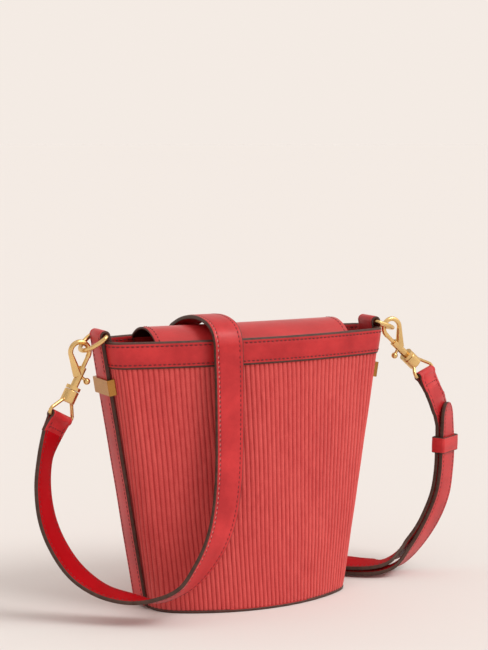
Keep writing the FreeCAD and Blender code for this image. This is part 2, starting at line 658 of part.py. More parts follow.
strap_length = 0.0
for side in SIDES:
    parts["dee_ring_" + side] = dee_ring(side)
    parts["snap_hook_" + side] = place_on_hook(snap_hook(side), side)
    parts["snap_bolt_" + side] = place_on_hook(bolt(), side)
    parts["bolt_spring_" + side] = place_on_hook(bolt_spring(), side)
    parts["swivel_block_" + side] = place_on_hook(swivel_block(), side).cut(strap_dee(side))
    parts["strap_dee_" + side] = strap_dee(side)
    parts["strap_fold_" + side] = strap_fold(side)

parts["strap_front_run"], front_length = ribbon(with_start("left", LEFT_RUN))
parts["strap_arch"], arch_length = ribbon(ARCH)
parts["strap_back_run"], back_length = ribbon(RIGHT_RUN, tip=True)
parts["strap_short_run"], short_length = ribbon(short_route())
parts["strap_keeper"] = keeper()
parts["buckle_frame"] = buckle_frame()
parts["buckle_prong"] = buckle_prong()
fold_length = 2 * FOLD_LENGTH
print("long strap", round(front_length + arch_length + back_length + fold_length))
print("short strap", round(short_length + fold_length))

for name, shape in parts.items():
    if len(shape.Solids) != 1 or not shape.isValid():
        print("CHECK", name, len(shape.Solids), shape.isValid())
    shape.exportStep("parts/" + name + ".step")
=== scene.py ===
import math
import bpy
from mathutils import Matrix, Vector, noise


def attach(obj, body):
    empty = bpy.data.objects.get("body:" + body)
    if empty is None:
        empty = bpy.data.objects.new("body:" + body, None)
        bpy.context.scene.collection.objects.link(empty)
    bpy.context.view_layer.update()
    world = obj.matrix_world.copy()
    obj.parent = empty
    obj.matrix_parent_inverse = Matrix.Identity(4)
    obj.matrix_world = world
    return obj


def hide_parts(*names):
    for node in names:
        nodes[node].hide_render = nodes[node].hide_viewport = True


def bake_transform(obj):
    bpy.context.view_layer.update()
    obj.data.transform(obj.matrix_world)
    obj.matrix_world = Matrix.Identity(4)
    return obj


# Bucket bag: corduroy body, leather trim, brass hardware and a flat strap, on a pale floor.
# Lengths are written in millimetres and turned into metres by M when a mesh is made.
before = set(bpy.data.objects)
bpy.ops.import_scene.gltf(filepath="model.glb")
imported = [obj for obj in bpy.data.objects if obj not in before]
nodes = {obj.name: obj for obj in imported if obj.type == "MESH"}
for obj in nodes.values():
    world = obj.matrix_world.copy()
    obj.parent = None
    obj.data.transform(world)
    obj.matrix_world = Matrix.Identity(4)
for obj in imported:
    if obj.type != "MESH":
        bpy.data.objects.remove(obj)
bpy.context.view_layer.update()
M = 0.001


# ---------------------------------------------------------------- body dimensions
BODY_HEIGHT = 190.0
BASE = (77.0, 47.5, 26.0, 7.0)
RIM = (108.0, 34.0, 10.0, 10.0)
BAND_LOW = 171.5
STRAP_WIDTH = 22.0
STRAP_THICKNESS = 2.8
HINGE_Y = 20.3
HINGE_Z = 190.5
SIDES = {"left": -1, "right": 1}
LOOP_SHIFT = {"left": 0.0, "right": -2.6}
LOOP_OUTER, LOOP_INNER, LOOP_Z = 3.9, 2.1, 193.6


def edge_lengths(shape, outset):
    """Centre, radius and sweep of the front arc of an outline given as width, depth, corner, flat."""
    wide, deep, corner, flat = shape
    wide, deep, corner = wide + outset, deep + outset, corner + outset
    rest = deep - flat
    radius = ((wide - corner) ** 2 + rest ** 2 - corner ** 2) / (2 * (rest - corner))
    turn = math.atan2(flat - (deep - radius), wide - corner)
    return wide, deep, corner, flat, radius, turn


def outline_point(shape, outset, t):
    """Point of the front half outline; t runs 1 each over end, corner, front arc, corner and end."""
    wide, deep, corner, flat, radius, turn = edge_lengths(shape, outset)
    mirror = -1.0
    if t > 2.5:
        mirror, t = 1.0, 5.0 - t
    if t < 1.0:
        x, y = wide, flat * t
    elif t < 2.0:
        angle = turn * (t - 1.0)
        x, y = wide - corner + corner * math.cos(angle), flat + corner * math.sin(angle)
    else:
        angle = turn + (math.pi / 2 - turn) * (t - 2.0) * 2.0
        x, y = radius * math.cos(angle), deep - radius + radius * math.sin(angle)
    return Vector((x * mirror, -y, 0.0))


def wall_point(t, z, outset, back=False):
    """Point on the body's wall: t along the half outline from the left end to the right end."""
    share = z / BODY_HEIGHT
    point = outline_point(BASE, outset, t).lerp(outline_point(RIM, outset, t), share)
    point.z = z
    if back:
        point.y = -point.y
    return point


def wall_normal(t, z, back=False):
    step = 0.01
    before = wall_point(max(t - step, 0.0), z, 0, back)
    after = wall_point(min(t + step, 5.0), z, 0, back)
    along = (after - before).normalized()
    up = (wall_point(t, z + 5, 0, back) - wall_point(t, z, 0, back)).normalized()
    normal = along.cross(up)
    if normal.dot(Vector((0, 0, z)) - wall_point(t, z, 0, back)) > 0:
        normal.negate()
    return normal.normalized()


def end_x(z, outset):
    """Half width of the body at a height."""
    return BASE[0] + (RIM[0] - BASE[0]) * z / BODY_HEIGHT + outset


def spaced_params(count, low=0.0, high=5.0):
    """Outline parameters whose points lie evenly along the wall at mid height."""
    fine = [low + (high - low) * k / 2000 for k in range(2001)]
    points = [wall_point(t, 95, 0) for t in fine]
    reach = [0.0]
    for a, b in zip(points, points[1:]):
        reach.append(reach[-1] + (b - a).length)
    result, at = [], 0
    for k in range(count + 1):
        want = reach[-1] * k / count
        while at < len(reach) - 2 and reach[at + 1] < want:
            at += 1
        span = reach[at + 1] - reach[at]
        part = (want - reach[at]) / span if span else 0.0
        result.append(fine[at] + (fine[at + 1] - fine[at]) * part)
    return result


# ---------------------------------------------------------------- materials
def new_material(name):
    material = bpy.data.materials.new(name)
    material.use_nodes = True
    tree = material.node_tree
    shader = tree.nodes["Principled BSDF"]
    return material, tree, shader


def coordinates(tree, source, scale=(1, 1, 1)):
    place = tree.nodes.new("ShaderNodeTexCoord")
    mapping = tree.nodes.new("ShaderNodeMapping")
    mapping.inputs["Scale"].default_value = scale
    tree.links.new(place.outputs[source], mapping.inputs["Vector"])
    return mapping.outputs["Vector"]


def ramp(tree, source, stops):
    node = tree.nodes.new("ShaderNodeValToRGB")
    elements = node.color_ramp.elements
    while len(elements) < len(stops):
        elements.new(0.5)
    for element, (position, colour) in zip(elements, stops):
        element.position = position
        element.color = (*colour, 1.0)
    tree.links.new(source, node.inputs["Fac"])
    return node.outputs["Color"]


def mix(tree, factor, a, b, mode="MIX"):
    node = tree.nodes.new("ShaderNodeMix")
    node.data_type = "RGBA"
    node.blend_type = mode
    for value, socket in ((factor, node.inputs[0]), (a, node.inputs[6]), (b, node.inputs[7])):
        if isinstance(value, (int, float)):
            socket.default_value = value
        elif isinstance(value, tuple):
            socket.default_value = (*value, 1.0)
        else:
            tree.links.new(value, socket)
    return node.outputs[2]


def noise_of(tree, vector, scale, detail=3.0, rough=0.55):
    node = tree.nodes.new("ShaderNodeTexNoise")
    node.inputs["Scale"].default_value = scale
    node.inputs["Detail"].default_value = detail
    node.inputs["Roughness"].default_value = rough
    tree.links.new(vector, node.inputs["Vector"])
    return node.outputs["Fac"]


def surface(tree, shader, sockets):
    """Sets each named shader socket to a constant, or links it to a texture."""
    for name, value in sockets.items():
        if isinstance(value, (int, float, tuple)):
            shader.inputs[name].default_value = value
        else:
            tree.links.new(value, shader.inputs[name])


def bump(tree, height, distance, strength, normal=None):
    node = tree.nodes.new("ShaderNodeBump")
    node.inputs["Distance"].default_value = distance
    node.inputs["Strength"].default_value = strength
    tree.links.new(height, node.inputs["Height"])
    if normal:
        tree.links.new(normal, node.inputs["Normal"])
    return node.outputs["Normal"]


def leather(name, light, dark, source="Object", rough=0.40, shine=0.34):
    """Smooth finished leather: fine cells of grain, soft tone changes and a slightly broken shine."""
    material, tree, shader = new_material(name)
    vector = coordinates(tree, source)
    cells = tree.nodes.new("ShaderNodeTexVoronoi")
    cells.feature = "DISTANCE_TO_EDGE"
    cells.inputs["Scale"].default_value = 1500.0
    tree.links.new(vector, cells.inputs["Vector"])
    grain = ramp(tree, cells.outputs["Distance"], [(0.0, (0, 0, 0)), (0.22, (1, 1, 1))])
    fine = noise_of(tree, vector, 900.0, 4.0, 0.6)
    tone = noise_of(tree, vector, 34.0, 4.0, 0.6)
    wide = noise_of(tree, vector, 9.0, 2.0, 0.5)
    colour = mix(tree, ramp(tree, tone, [(0.35, (0, 0, 0)), (0.68, (1, 1, 1))]), dark, light)
    colour = mix(tree, 0.15, colour, ramp(tree, fine, [(0.3, dark), (0.7, light)]))
    broken = ramp(tree, wide, [(0.3, (rough - 0.07,) * 3), (0.75, (rough + 0.07,) * 3)])
    normal = bump(tree, fine, 0.00008, 0.35, bump(tree, grain, 0.00006, 0.35))
    surface(tree, shader, {"Base Color": colour, "Roughness": broken, "Specular IOR Level": shine,
                           "Normal": normal})
    return material


def edge_paint(name, colour, source="Object"):
    """Thick dark paint on a cut leather edge."""
    material, tree, shader = new_material(name)
    vector = coordinates(tree, source)
    spots = noise_of(tree, vector, 260.0, 3.0, 0.6)
    lighter = tuple(min(1.0, c * 1.6 + 0.006) for c in colour)
    painted = ramp(tree, spots, [(0.3, colour), (0.75, lighter)])
    surface(tree, shader, {"Base Color": painted, "Roughness": 0.5, "Specular IOR Level": 0.22,
                           "Normal": bump(tree, spots, 0.00015, 0.4)})
    return material


def suede(name, light, dark):
    """Short napped underside of leather."""
    material, tree, shader = new_material(name)
    vector = coordinates(tree, "Object")
    nap = noise_of(tree, vector, 420.0, 5.0, 0.7)
    tone = noise_of(tree, vector, 50.0, 3.0, 0.6)
    stops = [(0.3, dark), (0.7, light)]
    colour = mix(tree, 0.5, ramp(tree, nap, stops), ramp(tree, tone, stops))
    surface(tree, shader, {"Base Color": colour, "Roughness": 0.95, "Specular IOR Level": 0.1,
                           "Normal": bump(tree, nap, 0.0002, 0.5)})
    return material


def corduroy():
    """Cotton pile with crushed patches; painted shade darkens the hollows between the wales, so their tops
    read lighter.
    """
    material, tree, shader = new_material("corduroy_pile")
    vector = coordinates(tree, "UV")
    height = tree.nodes.new("ShaderNodeAttribute")
    height.attribute_name = "wale"
    patches = noise_of(tree, coordinates(tree, "UV", (1.0, 0.6, 1.0)), 24.0, 5.0, 0.62)
    streaks = noise_of(tree, coordinates(tree, "UV", (1.0, 0.12, 1.0)), 260.0, 4.0, 0.6)
    small = noise_of(tree, coordinates(tree, "UV", (1.0, 0.35, 1.0)), 300.0, 4.0, 0.65)
    fuzz = noise_of(tree, vector, 1700.0, 3.0, 0.7)
    pile = ramp(tree, patches, [(0.30, (0.46, 0.028, 0.032)), (0.46, (0.62, 0.058, 0.057)),
                                (0.70, (0.76, 0.105, 0.096))])
    nap_stops = [(0.32, (0.40, 0.022, 0.028)), (0.66, (0.76, 0.13, 0.12))]
    fuzz_stops = [(0.3, (0.40, 0.024, 0.028)), (0.7, (0.84, 0.18, 0.16))]
    layers = ((0.30, streaks, nap_stops), (0.30, small, nap_stops), (0.32, fuzz, fuzz_stops))
    for share, texture, stops in layers:
        pile = mix(tree, share, pile, ramp(tree, texture, stops))
    # Painted shade: the rib height darkens the pile towards the bottom of each hollow between the wales.
    painted_groove_shade = ramp(tree, height.outputs["Fac"], [(0.0, (0.50, 0.22, 0.26)), (0.34, (0.80, 0.62, 0.64)),
                                                 (0.80, (1, 1, 1))])
    colour = mix(tree, 1.0, pile, painted_groove_shade, "MULTIPLY")
    normal = bump(tree, small, 0.0005, 0.35, bump(tree, fuzz, 0.0003, 0.5))
    surface(tree, shader, {"Base Color": colour, "Roughness": 0.95, "Specular IOR Level": 0.1,
                           "Sheen Weight": 0.5, "Sheen Roughness": 0.5, "Sheen Tint": (1.0, 0.45, 0.42, 1.0),
                           "Normal": normal})
    return material


def brass(name, colour, rough):
    """Brushed antique brass with darker patina in patches and fine scratches."""
    material, tree, shader = new_material(name)
    vector = coordinates(tree, "Object")
    patina = noise_of(tree, vector, 70.0, 3.0, 0.5)
    scratches = noise_of(tree, coordinates(tree, "Object", (1.0, 1.0, 0.12)), 2600.0, 3.0, 0.7)
    darker = tuple(c * 0.78 for c in colour)
    shine = ramp(tree, scratches, [(0.25, (rough - 0.06,) * 3), (0.8, (rough + 0.10,) * 3)])
    toned = ramp(tree, patina, [(0.25, darker), (0.62, colour)])
    surface(tree, shader, {"Base Color": toned, "Metallic": 1.0, "Roughness": shine,
                           "Normal": bump(tree, scratches, 0.00004, 0.3)})
    return material


def thread(name, light, dark):
    """Waxed sewing thread with a faint twist."""
    material, tree, shader = new_material(name)
    wave = tree.nodes.new("ShaderNodeTexWave")
    wave.inputs["Scale"].default_value = 900.0
    wave.inputs["Distortion"].default_value = 1.5
    tree.links.new(coordinates(tree, "Object"), wave.inputs["Vector"])
    twist = wave.outputs["Fac"]
    surface(tree, shader, {"Base Color": ramp(tree, twist, [(0.2, dark), (0.8, light)]), "Roughness": 0.55,
                           "Normal": bump(tree, twist, 0.00006, 0.5)})
    return material


def woven(name, light, dark):
    """Plain woven lining cloth."""
    material, tree, shader = new_material(name)
    vector = coordinates(tree, "Object")
    yarns = []
    for direction in ("X", "Z"):
        wave = tree.nodes.new("ShaderNodeTexWave")
        wave.bands_direction = direction
        wave.inputs["Scale"].default_value = 420.0
        tree.links.new(vector, wave.inputs["Vector"])
        yarns.append(wave.outputs["Color"])
    weave = mix(tree, 0.5, *yarns)
    tone = noise_of(tree, vector, 45.0, 4.0, 0.6)
    colour = mix(tree, 0.5, ramp(tree, weave, [(0.2, dark), (0.8, light)]),
                 ramp(tree, tone, [(0.3, dark), (0.7, light)]))
    surface(tree, shader, {"Base Color": colour, "Roughness": 0.85, "Sheen Weight": 0.2,
                           "Normal": bump(tree, weave, 0.0002, 0.5)})
    return material


LIGHT_RED = (0.61, 0.031, 0.034)
DARK_RED = (0.39, 0.011, 0.015)
leather_mat = leather("trim_leather", LIGHT_RED, DARK_RED)
strap_mat = leather("strap_leather_outer", LIGHT_RED, DARK_RED, "UV")
# Same red leather as the outer face, made darker and duller: painted shade for the strap's inner face.
shaded_strap_inner_mat = leather("strap_leather_inner_painted_shade", (0.44, 0.003, 0.008), (0.35, 0.002, 0.005),
                          "UV", 0.6, 0.05)
flap_mat = leather("flap_leather_skin", (0.56, 0.032, 0.034), (0.44, 0.020, 0.022), "UV", 0.36, 0.40)
dark_edge = edge_paint("edge_paint_dark", (0.060, 0.027, 0.021))
strap_edge = edge_paint("edge_paint_strap", (0.052, 0.026, 0.019), "UV")
pile_mat = corduroy()
brass_mat = brass("antique_brass", (0.84, 0.56, 0.235), 0.24)
ferrule_mat = brass("brushed_brass", (0.46, 0.215, 0.055), 0.28)
steel_mat = brass("spring_wire", (0.62, 0.62, 0.60), 0.35)
# Dark red thread; its darkness also paints the shade in the stitch holes.
thread_mat = thread("red_thread", (0.20, 0.008, 0.012), (0.09, 0.004, 0.006))
# Pale pink painted highlight: light caught by the stitches on the strap's outer face.
thread_highlight_paint = thread("painted_thread_highlight", (0.80, 0.34, 0.30), (0.60, 0.16, 0.15))
lining_mat = woven("lining_weave", (0.36, 0.030, 0.030), (0.22, 0.016, 0.016))
# Near-black underside of the flap: painted shade for the hollow under its arch.
flap_under_shade_mat = suede("flap_underside_painted_shade", (0.075, 0.022, 0.018), (0.035, 0.010, 0.009))
board_mat = woven("board_fibre", (0.42, 0.33, 0.22), (0.30, 0.22, 0.14))


# ---------------------------------------------------------------- mesh helpers
def make_mesh(name, points, faces, materials, face_slots=None, uvs=None, smooth=True):
    """Object from points in millimetres; uvs holds one pair per point."""
    mesh = bpy.data.meshes.new(name)
    mesh.from_pydata([tuple(p * M) for p in points], [], faces)
    for material in materials:
        mesh.materials.append(material)
    if face_slots:
        mesh.polygons.foreach_set("material_index", face_slots)
    if uvs:
        layer = mesh.uv_layers.new(name="UVMap")
        flat = []
        for loop in mesh.loops:
            flat.extend(uvs[loop.vertex_index])
        layer.data.foreach_set("uv", flat)
    mesh.polygons.foreach_set("use_smooth", [smooth] * len(mesh.polygons))
    mesh.update()
    made = bpy.data.objects.new(name, mesh)
    bpy.context.scene.collection.objects.link(made)
    return made


def sheet_faces(rows, columns, close=False, flip=False):
    """Faces of a grid of points stored row by row."""
    faces = []
    span = columns if close else columns - 1
    for r in range(rows - 1):
        for c in range(span):
            d = (c + 1) % columns
            face = (r * columns + c, r * columns + d, (r + 1) * columns + d, (r + 1) * columns + c)
            faces.append(face[::-1] if flip else face)
    return faces


def catmull(a, b, c, d, t):
    return 0.5 * (b * 2 + (c - a) * t + (a * 2 - b * 5 + c * 4 - d) * t ** 2
                  + (b * 3 - a - c * 3 + d) * t ** 3)


def smooth_route(points, per_span):
    result = []
    last = len(points) - 1
    for k in range(last):
        for j in range(per_span):
            result.append(catmull(points[max(k - 1, 0)], points[k], points[k + 1],
                                  points[min(k + 2, last)], j / per_span))
    result.append(points[-1])
    return result


class Station:
    """One place along a flat strap: centre, direction, width direction, normal and reach from the start."""

    def __init__(self, centre, along, across, reach):
        self.centre = centre
        self.along = along
        self.across = across
        self.normal = along.cross(across)
        self.reach = reach


def strap_stations(route, per_span=12):
    centres = smooth_route([Vector(p[:3]) for p in route], per_span)
    widths = smooth_route([Vector(p[3:]) for p in route], per_span)
    result, reach = [], 0.0
    for k, centre in enumerate(centres):
        before, after = centres[max(k - 1, 0)], centres[min(k + 1, len(centres) - 1)]
        along = (after - before).normalized()
        across = (widths[k] - along * widths[k].dot(along)).normalized()
        if k:
            reach += (centre - centres[k - 1]).length
        result.append(Station(centre, along, across, reach))
    return result


def strap_section(half_width, half_thick, groove=3.0):
    """Rounded strap cross-section with a sewn groove near each edge; the third value is the material slot."""
    h, w, g = half_thick, half_width, half_width - groove
    top = [(w - 0.75, h, 0), (g + 0.8, h + 0.05, 0), (g + 0.35, h, 0), (g, h - 0.16, 0),
           (g - 0.35, h, 0), (g - 0.9, h + 0.08, 0), (g * 0.45, h + 0.12, 0), (0, h + 0.14, 0)]
    top = top + [(-a, b, 0) for a, b, _ in reversed(top[:-1])]
    left_edge = [(-w + 0.28, h - 0.16, 2), (-w + 0.06, h * 0.55, 2), (-w, 0, 2), (-w + 0.06, -h * 0.55, 2),
                 (-w + 0.28, -h + 0.16, 2)]
    bottom = [(a, -b, 1) for a, b, _ in reversed(top)]
    right_edge = [(-a, b, 2) for a, b, _ in reversed(left_edge)]
    return top + left_edge + bottom + right_edge


def strap_mesh(name, stations, materials, width_at, ends):
    """Flat strap solid along stations. The outer face looks along +normal."""
    section = strap_section(STRAP_WIDTH / 2, STRAP_THICKNESS / 2)
    columns = len(section)
    points, uvs = [], []
    for s in stations:
        shrink = width_at(s.reach) if width_at else 1.0
        for a, b, _ in section:
            points.append(s.centre + s.across * (a * shrink) + s.normal * b)
            uvs.append((a * M, s.reach * M))
    faces = sheet_faces(len(stations), columns, True)
    around = [low[2] if low[2] == high[2] else 2 for low, high in zip(section, section[1:] + section[:1])]
    slots = around * (len(stations) - 1)
    if ends[0]:
        faces.append(tuple(range(columns))[::-1])
        slots.append(2)
    if ends[1]:
        faces.append(tuple(range((len(stations) - 1) * columns, len(stations) * columns)))
        slots.append(2)
    flipped = [f[::-1] for f in faces]
    return make_mesh(name, points, flipped, materials, slots, uvs)


def stitch_mesh(name, places, length=2.2, radius=0.34, material=None):
    """Many small stitches in one mesh: each place is (centre, direction, surface normal)."""
    points, faces = [], []
    sides = 6
    profile = [(-0.5, 0.28, -0.35), (-0.34, 0.85, 0.10), (0.0, 1.0, 0.30),
               (0.34, 0.85, 0.10), (0.5, 0.28, -0.35)]
    for centre, direction, normal in places:
        side = direction.cross(normal).normalized()
        first = len(points)
        for u, share, lift in profile:
            middle = centre + direction * (u * length) + normal * (lift * radius)
            for k in range(sides):
                angle = 2 * math.pi * k / sides
                spoke = side * math.cos(angle) + normal * (math.sin(angle) * 0.8)
                points.append(middle + spoke * (radius * share))
        for r in range(len(profile) - 1):
            for k in range(sides):
                d = (k + 1) % sides
                a = first + r * sides
                faces.append((a + k, a + d, a + sides + d, a + sides + k))
        faces.append(tuple(first + k for k in range(sides))[::-1])
        last = first + (len(profile) - 1) * sides
        faces.append(tuple(last + k for k in range(sides)))
    return make_mesh(name, points, faces, [material or thread_mat])


def along_line(line, pitch, skip=0.0):
    """Stitch places every pitch along a polyline of (point, normal)."""
    places, reach, want = [], 0.0, skip + pitch / 2
    for (a, na), (b, nb) in zip(line, line[1:]):
        length = (b - a).length
        while length and want < reach + length:
            t = (want - reach) / length
            places.append((a.lerp(b, t), (b - a).normalized(), na.lerp(nb, t).normalized()))
            want += pitch
        reach += length
    return places


def strap_stitches(name, stations, offset=8.0, half_thick=1.4, pitch=3.3, faces=(1, -1), width_at=None):
    places = []
    for face in faces:
        for side in (-1, 1):
            line = []
            for s in stations:
                shrink = width_at(s.reach) if width_at else 1.0
                point = s.centre + s.across * (side * (offset - (1 - shrink) * 11.0)) \
                    + s.normal * (face * (half_thick - 0.16))
                line.append((point, s.normal * face))
            places += along_line(line, pitch)
    return stitch_mesh(name, places, 2.3, 0.42, thread_mat)


def pale_highlights(name, stations, outward):
    """Painted highlights: pale dashes beside the front run's outer row of stitches, for light caught by the
    thread.
    """
    line = [(s.centre - s.across * 8.62 + s.normal * (outward * 1.33), s.normal * outward)
            for s in stations]
    return stitch_mesh(name, along_line(line, 3.3, 0.5), 2.0, 0.30, thread_highlight_paint)


def finish_piece(piece, body, slot_name, *cad):
    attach(piece, body)
    if cad:
        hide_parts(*cad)
    return piece


# ---------------------------------------------------------------- corduroy walls
WALE_PITCH = 3.45


def corduroy_wall(name, back):
    """Half of the ribbed body. Wales run nearly up the cloth, leaning a little with the tapered sides."""
    columns, rows = 640, 96
    params = spaced_params(columns - 1)
    middle = columns // 2
    reach = {}
    for level in (0.0, BODY_HEIGHT):
        points = [wall_point(t, level, 0) for t in params]
        run = [0.0]
        for a, b in zip(points, points[1:]):
            run.append(run[-1] + (b - a).length)
        reach[level] = [r - run[middle] for r in run]
    normals = [wall_normal(t, 95, back) for t in params]
    points, uvs, heights = [], [], []
    seed = Vector((7.3, 1.9, 4.4)) if back else Vector((0.6, 3.1, 8.2))
    for r in range(rows):
        z = 1.2 + (BAND_LOW + 3.0 - 1.2) * r / (rows - 1)
        share = z / BODY_HEIGHT
        lean = 0.5 + (share - 0.5) * 0.55
        for c, t in enumerate(params):
            base = wall_point(t, z, 0, back)
            s = reach[0.0][c] * (1 - lean) + reach[BODY_HEIGHT][c] * lean
            wander = 0.22 * noise.noise(Vector((s * 0.02, z * 0.022, 0)) + seed)
            phase = s / WALE_PITCH + wander
            rib = abs(math.sin(math.pi * phase)) ** 0.75
            crush = noise.noise(Vector((s * 0.05, z * 0.035, 1.7)) + seed)
            soft = noise.noise(Vector((s * 0.014, z * 0.016, 5.1)) + seed)
            height = -0.95 + rib * (0.86 + 0.14 * crush) + 0.30 * soft
            if z < 8.0:
                height -= (8.0 - z) ** 2 * 0.012
            points.append(base + normals[c] * height)
            uvs.append((s * M, z * M))
            heights.append(rib)
    made = make_mesh(name, points, sheet_faces(rows, columns, False, back), [pile_mat], None, uvs)
    # Rib height per point; the pile material reads it to paint shade into the hollows between the wales.
    attribute = made.data.attributes.new("wale", "FLOAT", "POINT")
    attribute.data.foreach_set("value", heights)
    solid = made.modifiers.new("cloth", "SOLIDIFY")
    solid.thickness = 0.0009
    solid.offset = -1.0
    return made


finish_piece(corduroy_wall("corduroy_wall_front", False), "bag", "corduroy", "corduroy_front")
finish_piece(corduroy_wall("corduroy_wall_back", True), "bag", "corduroy", "corduroy_back")


# ---------------------------------------------------------------- leather band round the rim
def band_profile():
    """(distance out of the wall, height, material slot) round the band's cross-section."""
    low, high = BAND_LOW, BODY_HEIGHT
    return [(-3.2, low + 1.5, 0), (-3.3, high - 3.4, 0), (-3.2, high - 3.0, 0), (-3.3, high - 2.6, 0),
            (-3.2, high - 0.9, 0),
            (-2.9, high - 0.35, 1), (-2.2, high - 0.05, 1), (-1.2, high + 0.1, 1), (-0.2, high - 0.05, 1),
            (0.45, high - 0.35, 1), (0.75, high - 0.95, 1),
            (0.85, high - 1.3, 0), (0.9, high - 2.5, 0), (0.72, high - 3.0, 0), (0.9, high - 3.5, 0),
            (1.0, high - 6.0, 0), (1.0, low + 6.0, 0), (0.9, low + 3.3, 0), (0.72, low + 2.8, 0),
            (0.9, low + 2.3, 0), (0.85, low + 1.3, 0), (0.75, low + 0.9, 1), (0.55, low + 0.25, 1),
            (0.1, low, 1), (-0.5, low + 0.2, 1), (-1.6, low + 0.6, 1)]


def rim_band(name, back):
    profile = band_profile()
    params = spaced_params(160, 0.0, 5.0)
    points, uvs = [], []
    for k, t in enumerate(params):
        normal = wall_normal(t, 180, back)
        for out, z, _ in profile:
            points.append(wall_point(t, z, 0, back) + normal * out)
            uvs.append((k * 1.5 * M, z * M))
    faces = sheet_faces(len(params), len(profile), True, not back)
    around = [max(low[2], high[2]) for low, high in zip(profile, profile[1:] + profile[:1])]
    slots = around * (len(params) - 1)
    return make_mesh(name, points, faces, [leather_mat, dark_edge], slots, uvs)


def band_stitches(name, back):
    places = []
    params = spaced_params(400, 0.9, 4.1)
    for z, out in ((BODY_HEIGHT - 3.0, 0.86), (BAND_LOW + 2.8, 0.86), (BODY_HEIGHT - 3.0, -3.32)):
        sign = 1 if out > 0 else -1
        line = []
        for t in params:
            normal = wall_normal(t, z, back)
            line.append((wall_point(t, z, 0, back) + normal * out, normal * sign))
        places += along_line(line, 3.4)
    return stitch_mesh(name, places, 2.4, 0.44, thread_mat)


for side_name, back in (("front", False), ("back", True)):
    finish_piece(rim_band("rim_band_" + side_name, back), "bag", "leather", "top_band_" + side_name)
    finish_piece(band_stitches("rim_stitches_" + side_name, back), "bag", "leather")


# ---------------------------------------------------------------- base and lining
def closed_ring(shape_share, outset, count=200):
    """Points round the whole outline at a height share from 0 (base) to 1 (rim)."""
    params = spaced_params(count // 2)
    z = shape_share * BODY_HEIGHT
    front = [wall_point(t, z, outset) for t in params]
    rear = [wall_point(t, z, outset, True) for t in reversed(params)]
    return front + rear[1:-1]


def loft_rings(name, rings, materials, slots_of, cap_first=True, cap_last=True):
    columns = len(rings[0])
    points = [p for ring in rings for p in ring]
    faces = sheet_faces(len(rings), columns, True)
    slots = [slots_of(r) for r in range(len(rings) - 1) for _ in range(columns)]
    if cap_first:
        faces.append(tuple(range(columns))[::-1])
        slots.append(slots_of(0))
    if cap_last:
        last = (len(rings) - 1) * columns
        faces.append(tuple(range(last, last + columns)))
        slots.append(slots_of(len(rings) - 2))
    return make_mesh(name, points, faces, materials, slots)


def ring_at(z, outset):
    return closed_ring(z / BODY_HEIGHT, outset)


BASE_EDGE = [(0.0, -1.0), (0.12, -0.4), (0.5, 0.0), (1.2, 0.05), (1.8, -0.2), (2.0, -0.8)]
base_rings = [ring_at(z, outset) for z, outset in BASE_EDGE]
base_piece = loft_rings("base_leather", base_rings, [dark_edge, leather_mat], lambda r: 0)
for polygon in base_piece.data.polygons:
    if abs(polygon.normal.z) > 0.95:
        polygon.material_index = 1
        polygon.use_smooth = False
finish_piece(base_piece, "bag", "leather", "base_panel")


def lining_cup():
    """Cloth lining that hangs softly inside the walls and over the base board."""
    rings = []
    rows = 40
    for r in range(rows + 1):
        z = 4.8 + (174.0 - 4.8) * r / rows
        ring = []
        for k, p in enumerate(ring_at(z, -2.9)):
            wave = noise.noise(Vector((p.x * 0.03, p.y * 0.05, z * 0.028))) * 0.9
            fade = min(1.0, (174.0 - z) / 25.0, (z - 4.8) / 12.0)
            inward = Vector((-p.x, -p.y, 0)).normalized()
            ring.append(p + inward * (max(0.0, wave + 0.25) * fade))
        rings.append(ring)
    floor = []
    for step in (0.98, 0.9, 0.7, 0.45, 0.2):
        floor.append([Vector((p.x * step, p.y * step, 4.8)) for p in rings[0]])
    made = loft_rings("lining_cup", list(reversed(floor)) + rings, [lining_mat], lambda r: 0, True, False)
    solid = made.modifiers.new("cloth", "SOLIDIFY")
    solid.thickness = 0.0006
    solid.offset = 1.0
    return made


finish_piece(lining_cup(), "bag", "lining_cloth", "lining")


# ---------------------------------------------------------------- strap routes
RING_REACH = {"left": 16.5, "right": 18.9}
RING_DROOP = {"left": 36.0, "right": 19.0}
HOOK_LEAN = {"left": 27.5, "right": 48.0}
DEE_TURN = {"left": 31.0, "right": 35.0}
DEE_TILT = {"left": 0.0, "right": 32.0}
AXIS_OFFSET = 6.0
DEE_BAR_DROP = 47.8
FOLD_LENGTH = 12.0


def bar_frame(side):
    """Middle of the strap dee's bar, direction down the strap from it, and direction of the bar."""
    sign = SIDES[side]
    angles = (RING_DROOP, HOOK_LEAN, DEE_TURN, DEE_TILT)
    droop, lean, turn, tilt = (math.radians(angle[side]) for angle in angles)
    loop = Vector((sign * (end_x(LOOP_Z, 0) + LOOP_SHIFT[side]), 0, LOOP_Z))
    hook = loop + Vector((sign * math.cos(droop), 0, -math.sin(droop))) * RING_REACH[side]
    down = Vector((sign * math.sin(lean), 0, -math.cos(lean)))
    gate = Vector((-sign * math.cos(lean), 0, -math.sin(lean)))
    level = gate * (-sign * math.cos(turn)) + Vector((0, 1, 0)) * math.sin(turn)
    middle = hook + gate * AXIS_OFFSET + down * DEE_BAR_DROP
    return (middle, down * math.cos(tilt) - level * math.sin(tilt),
            level * math.cos(tilt) + down * math.sin(tilt))


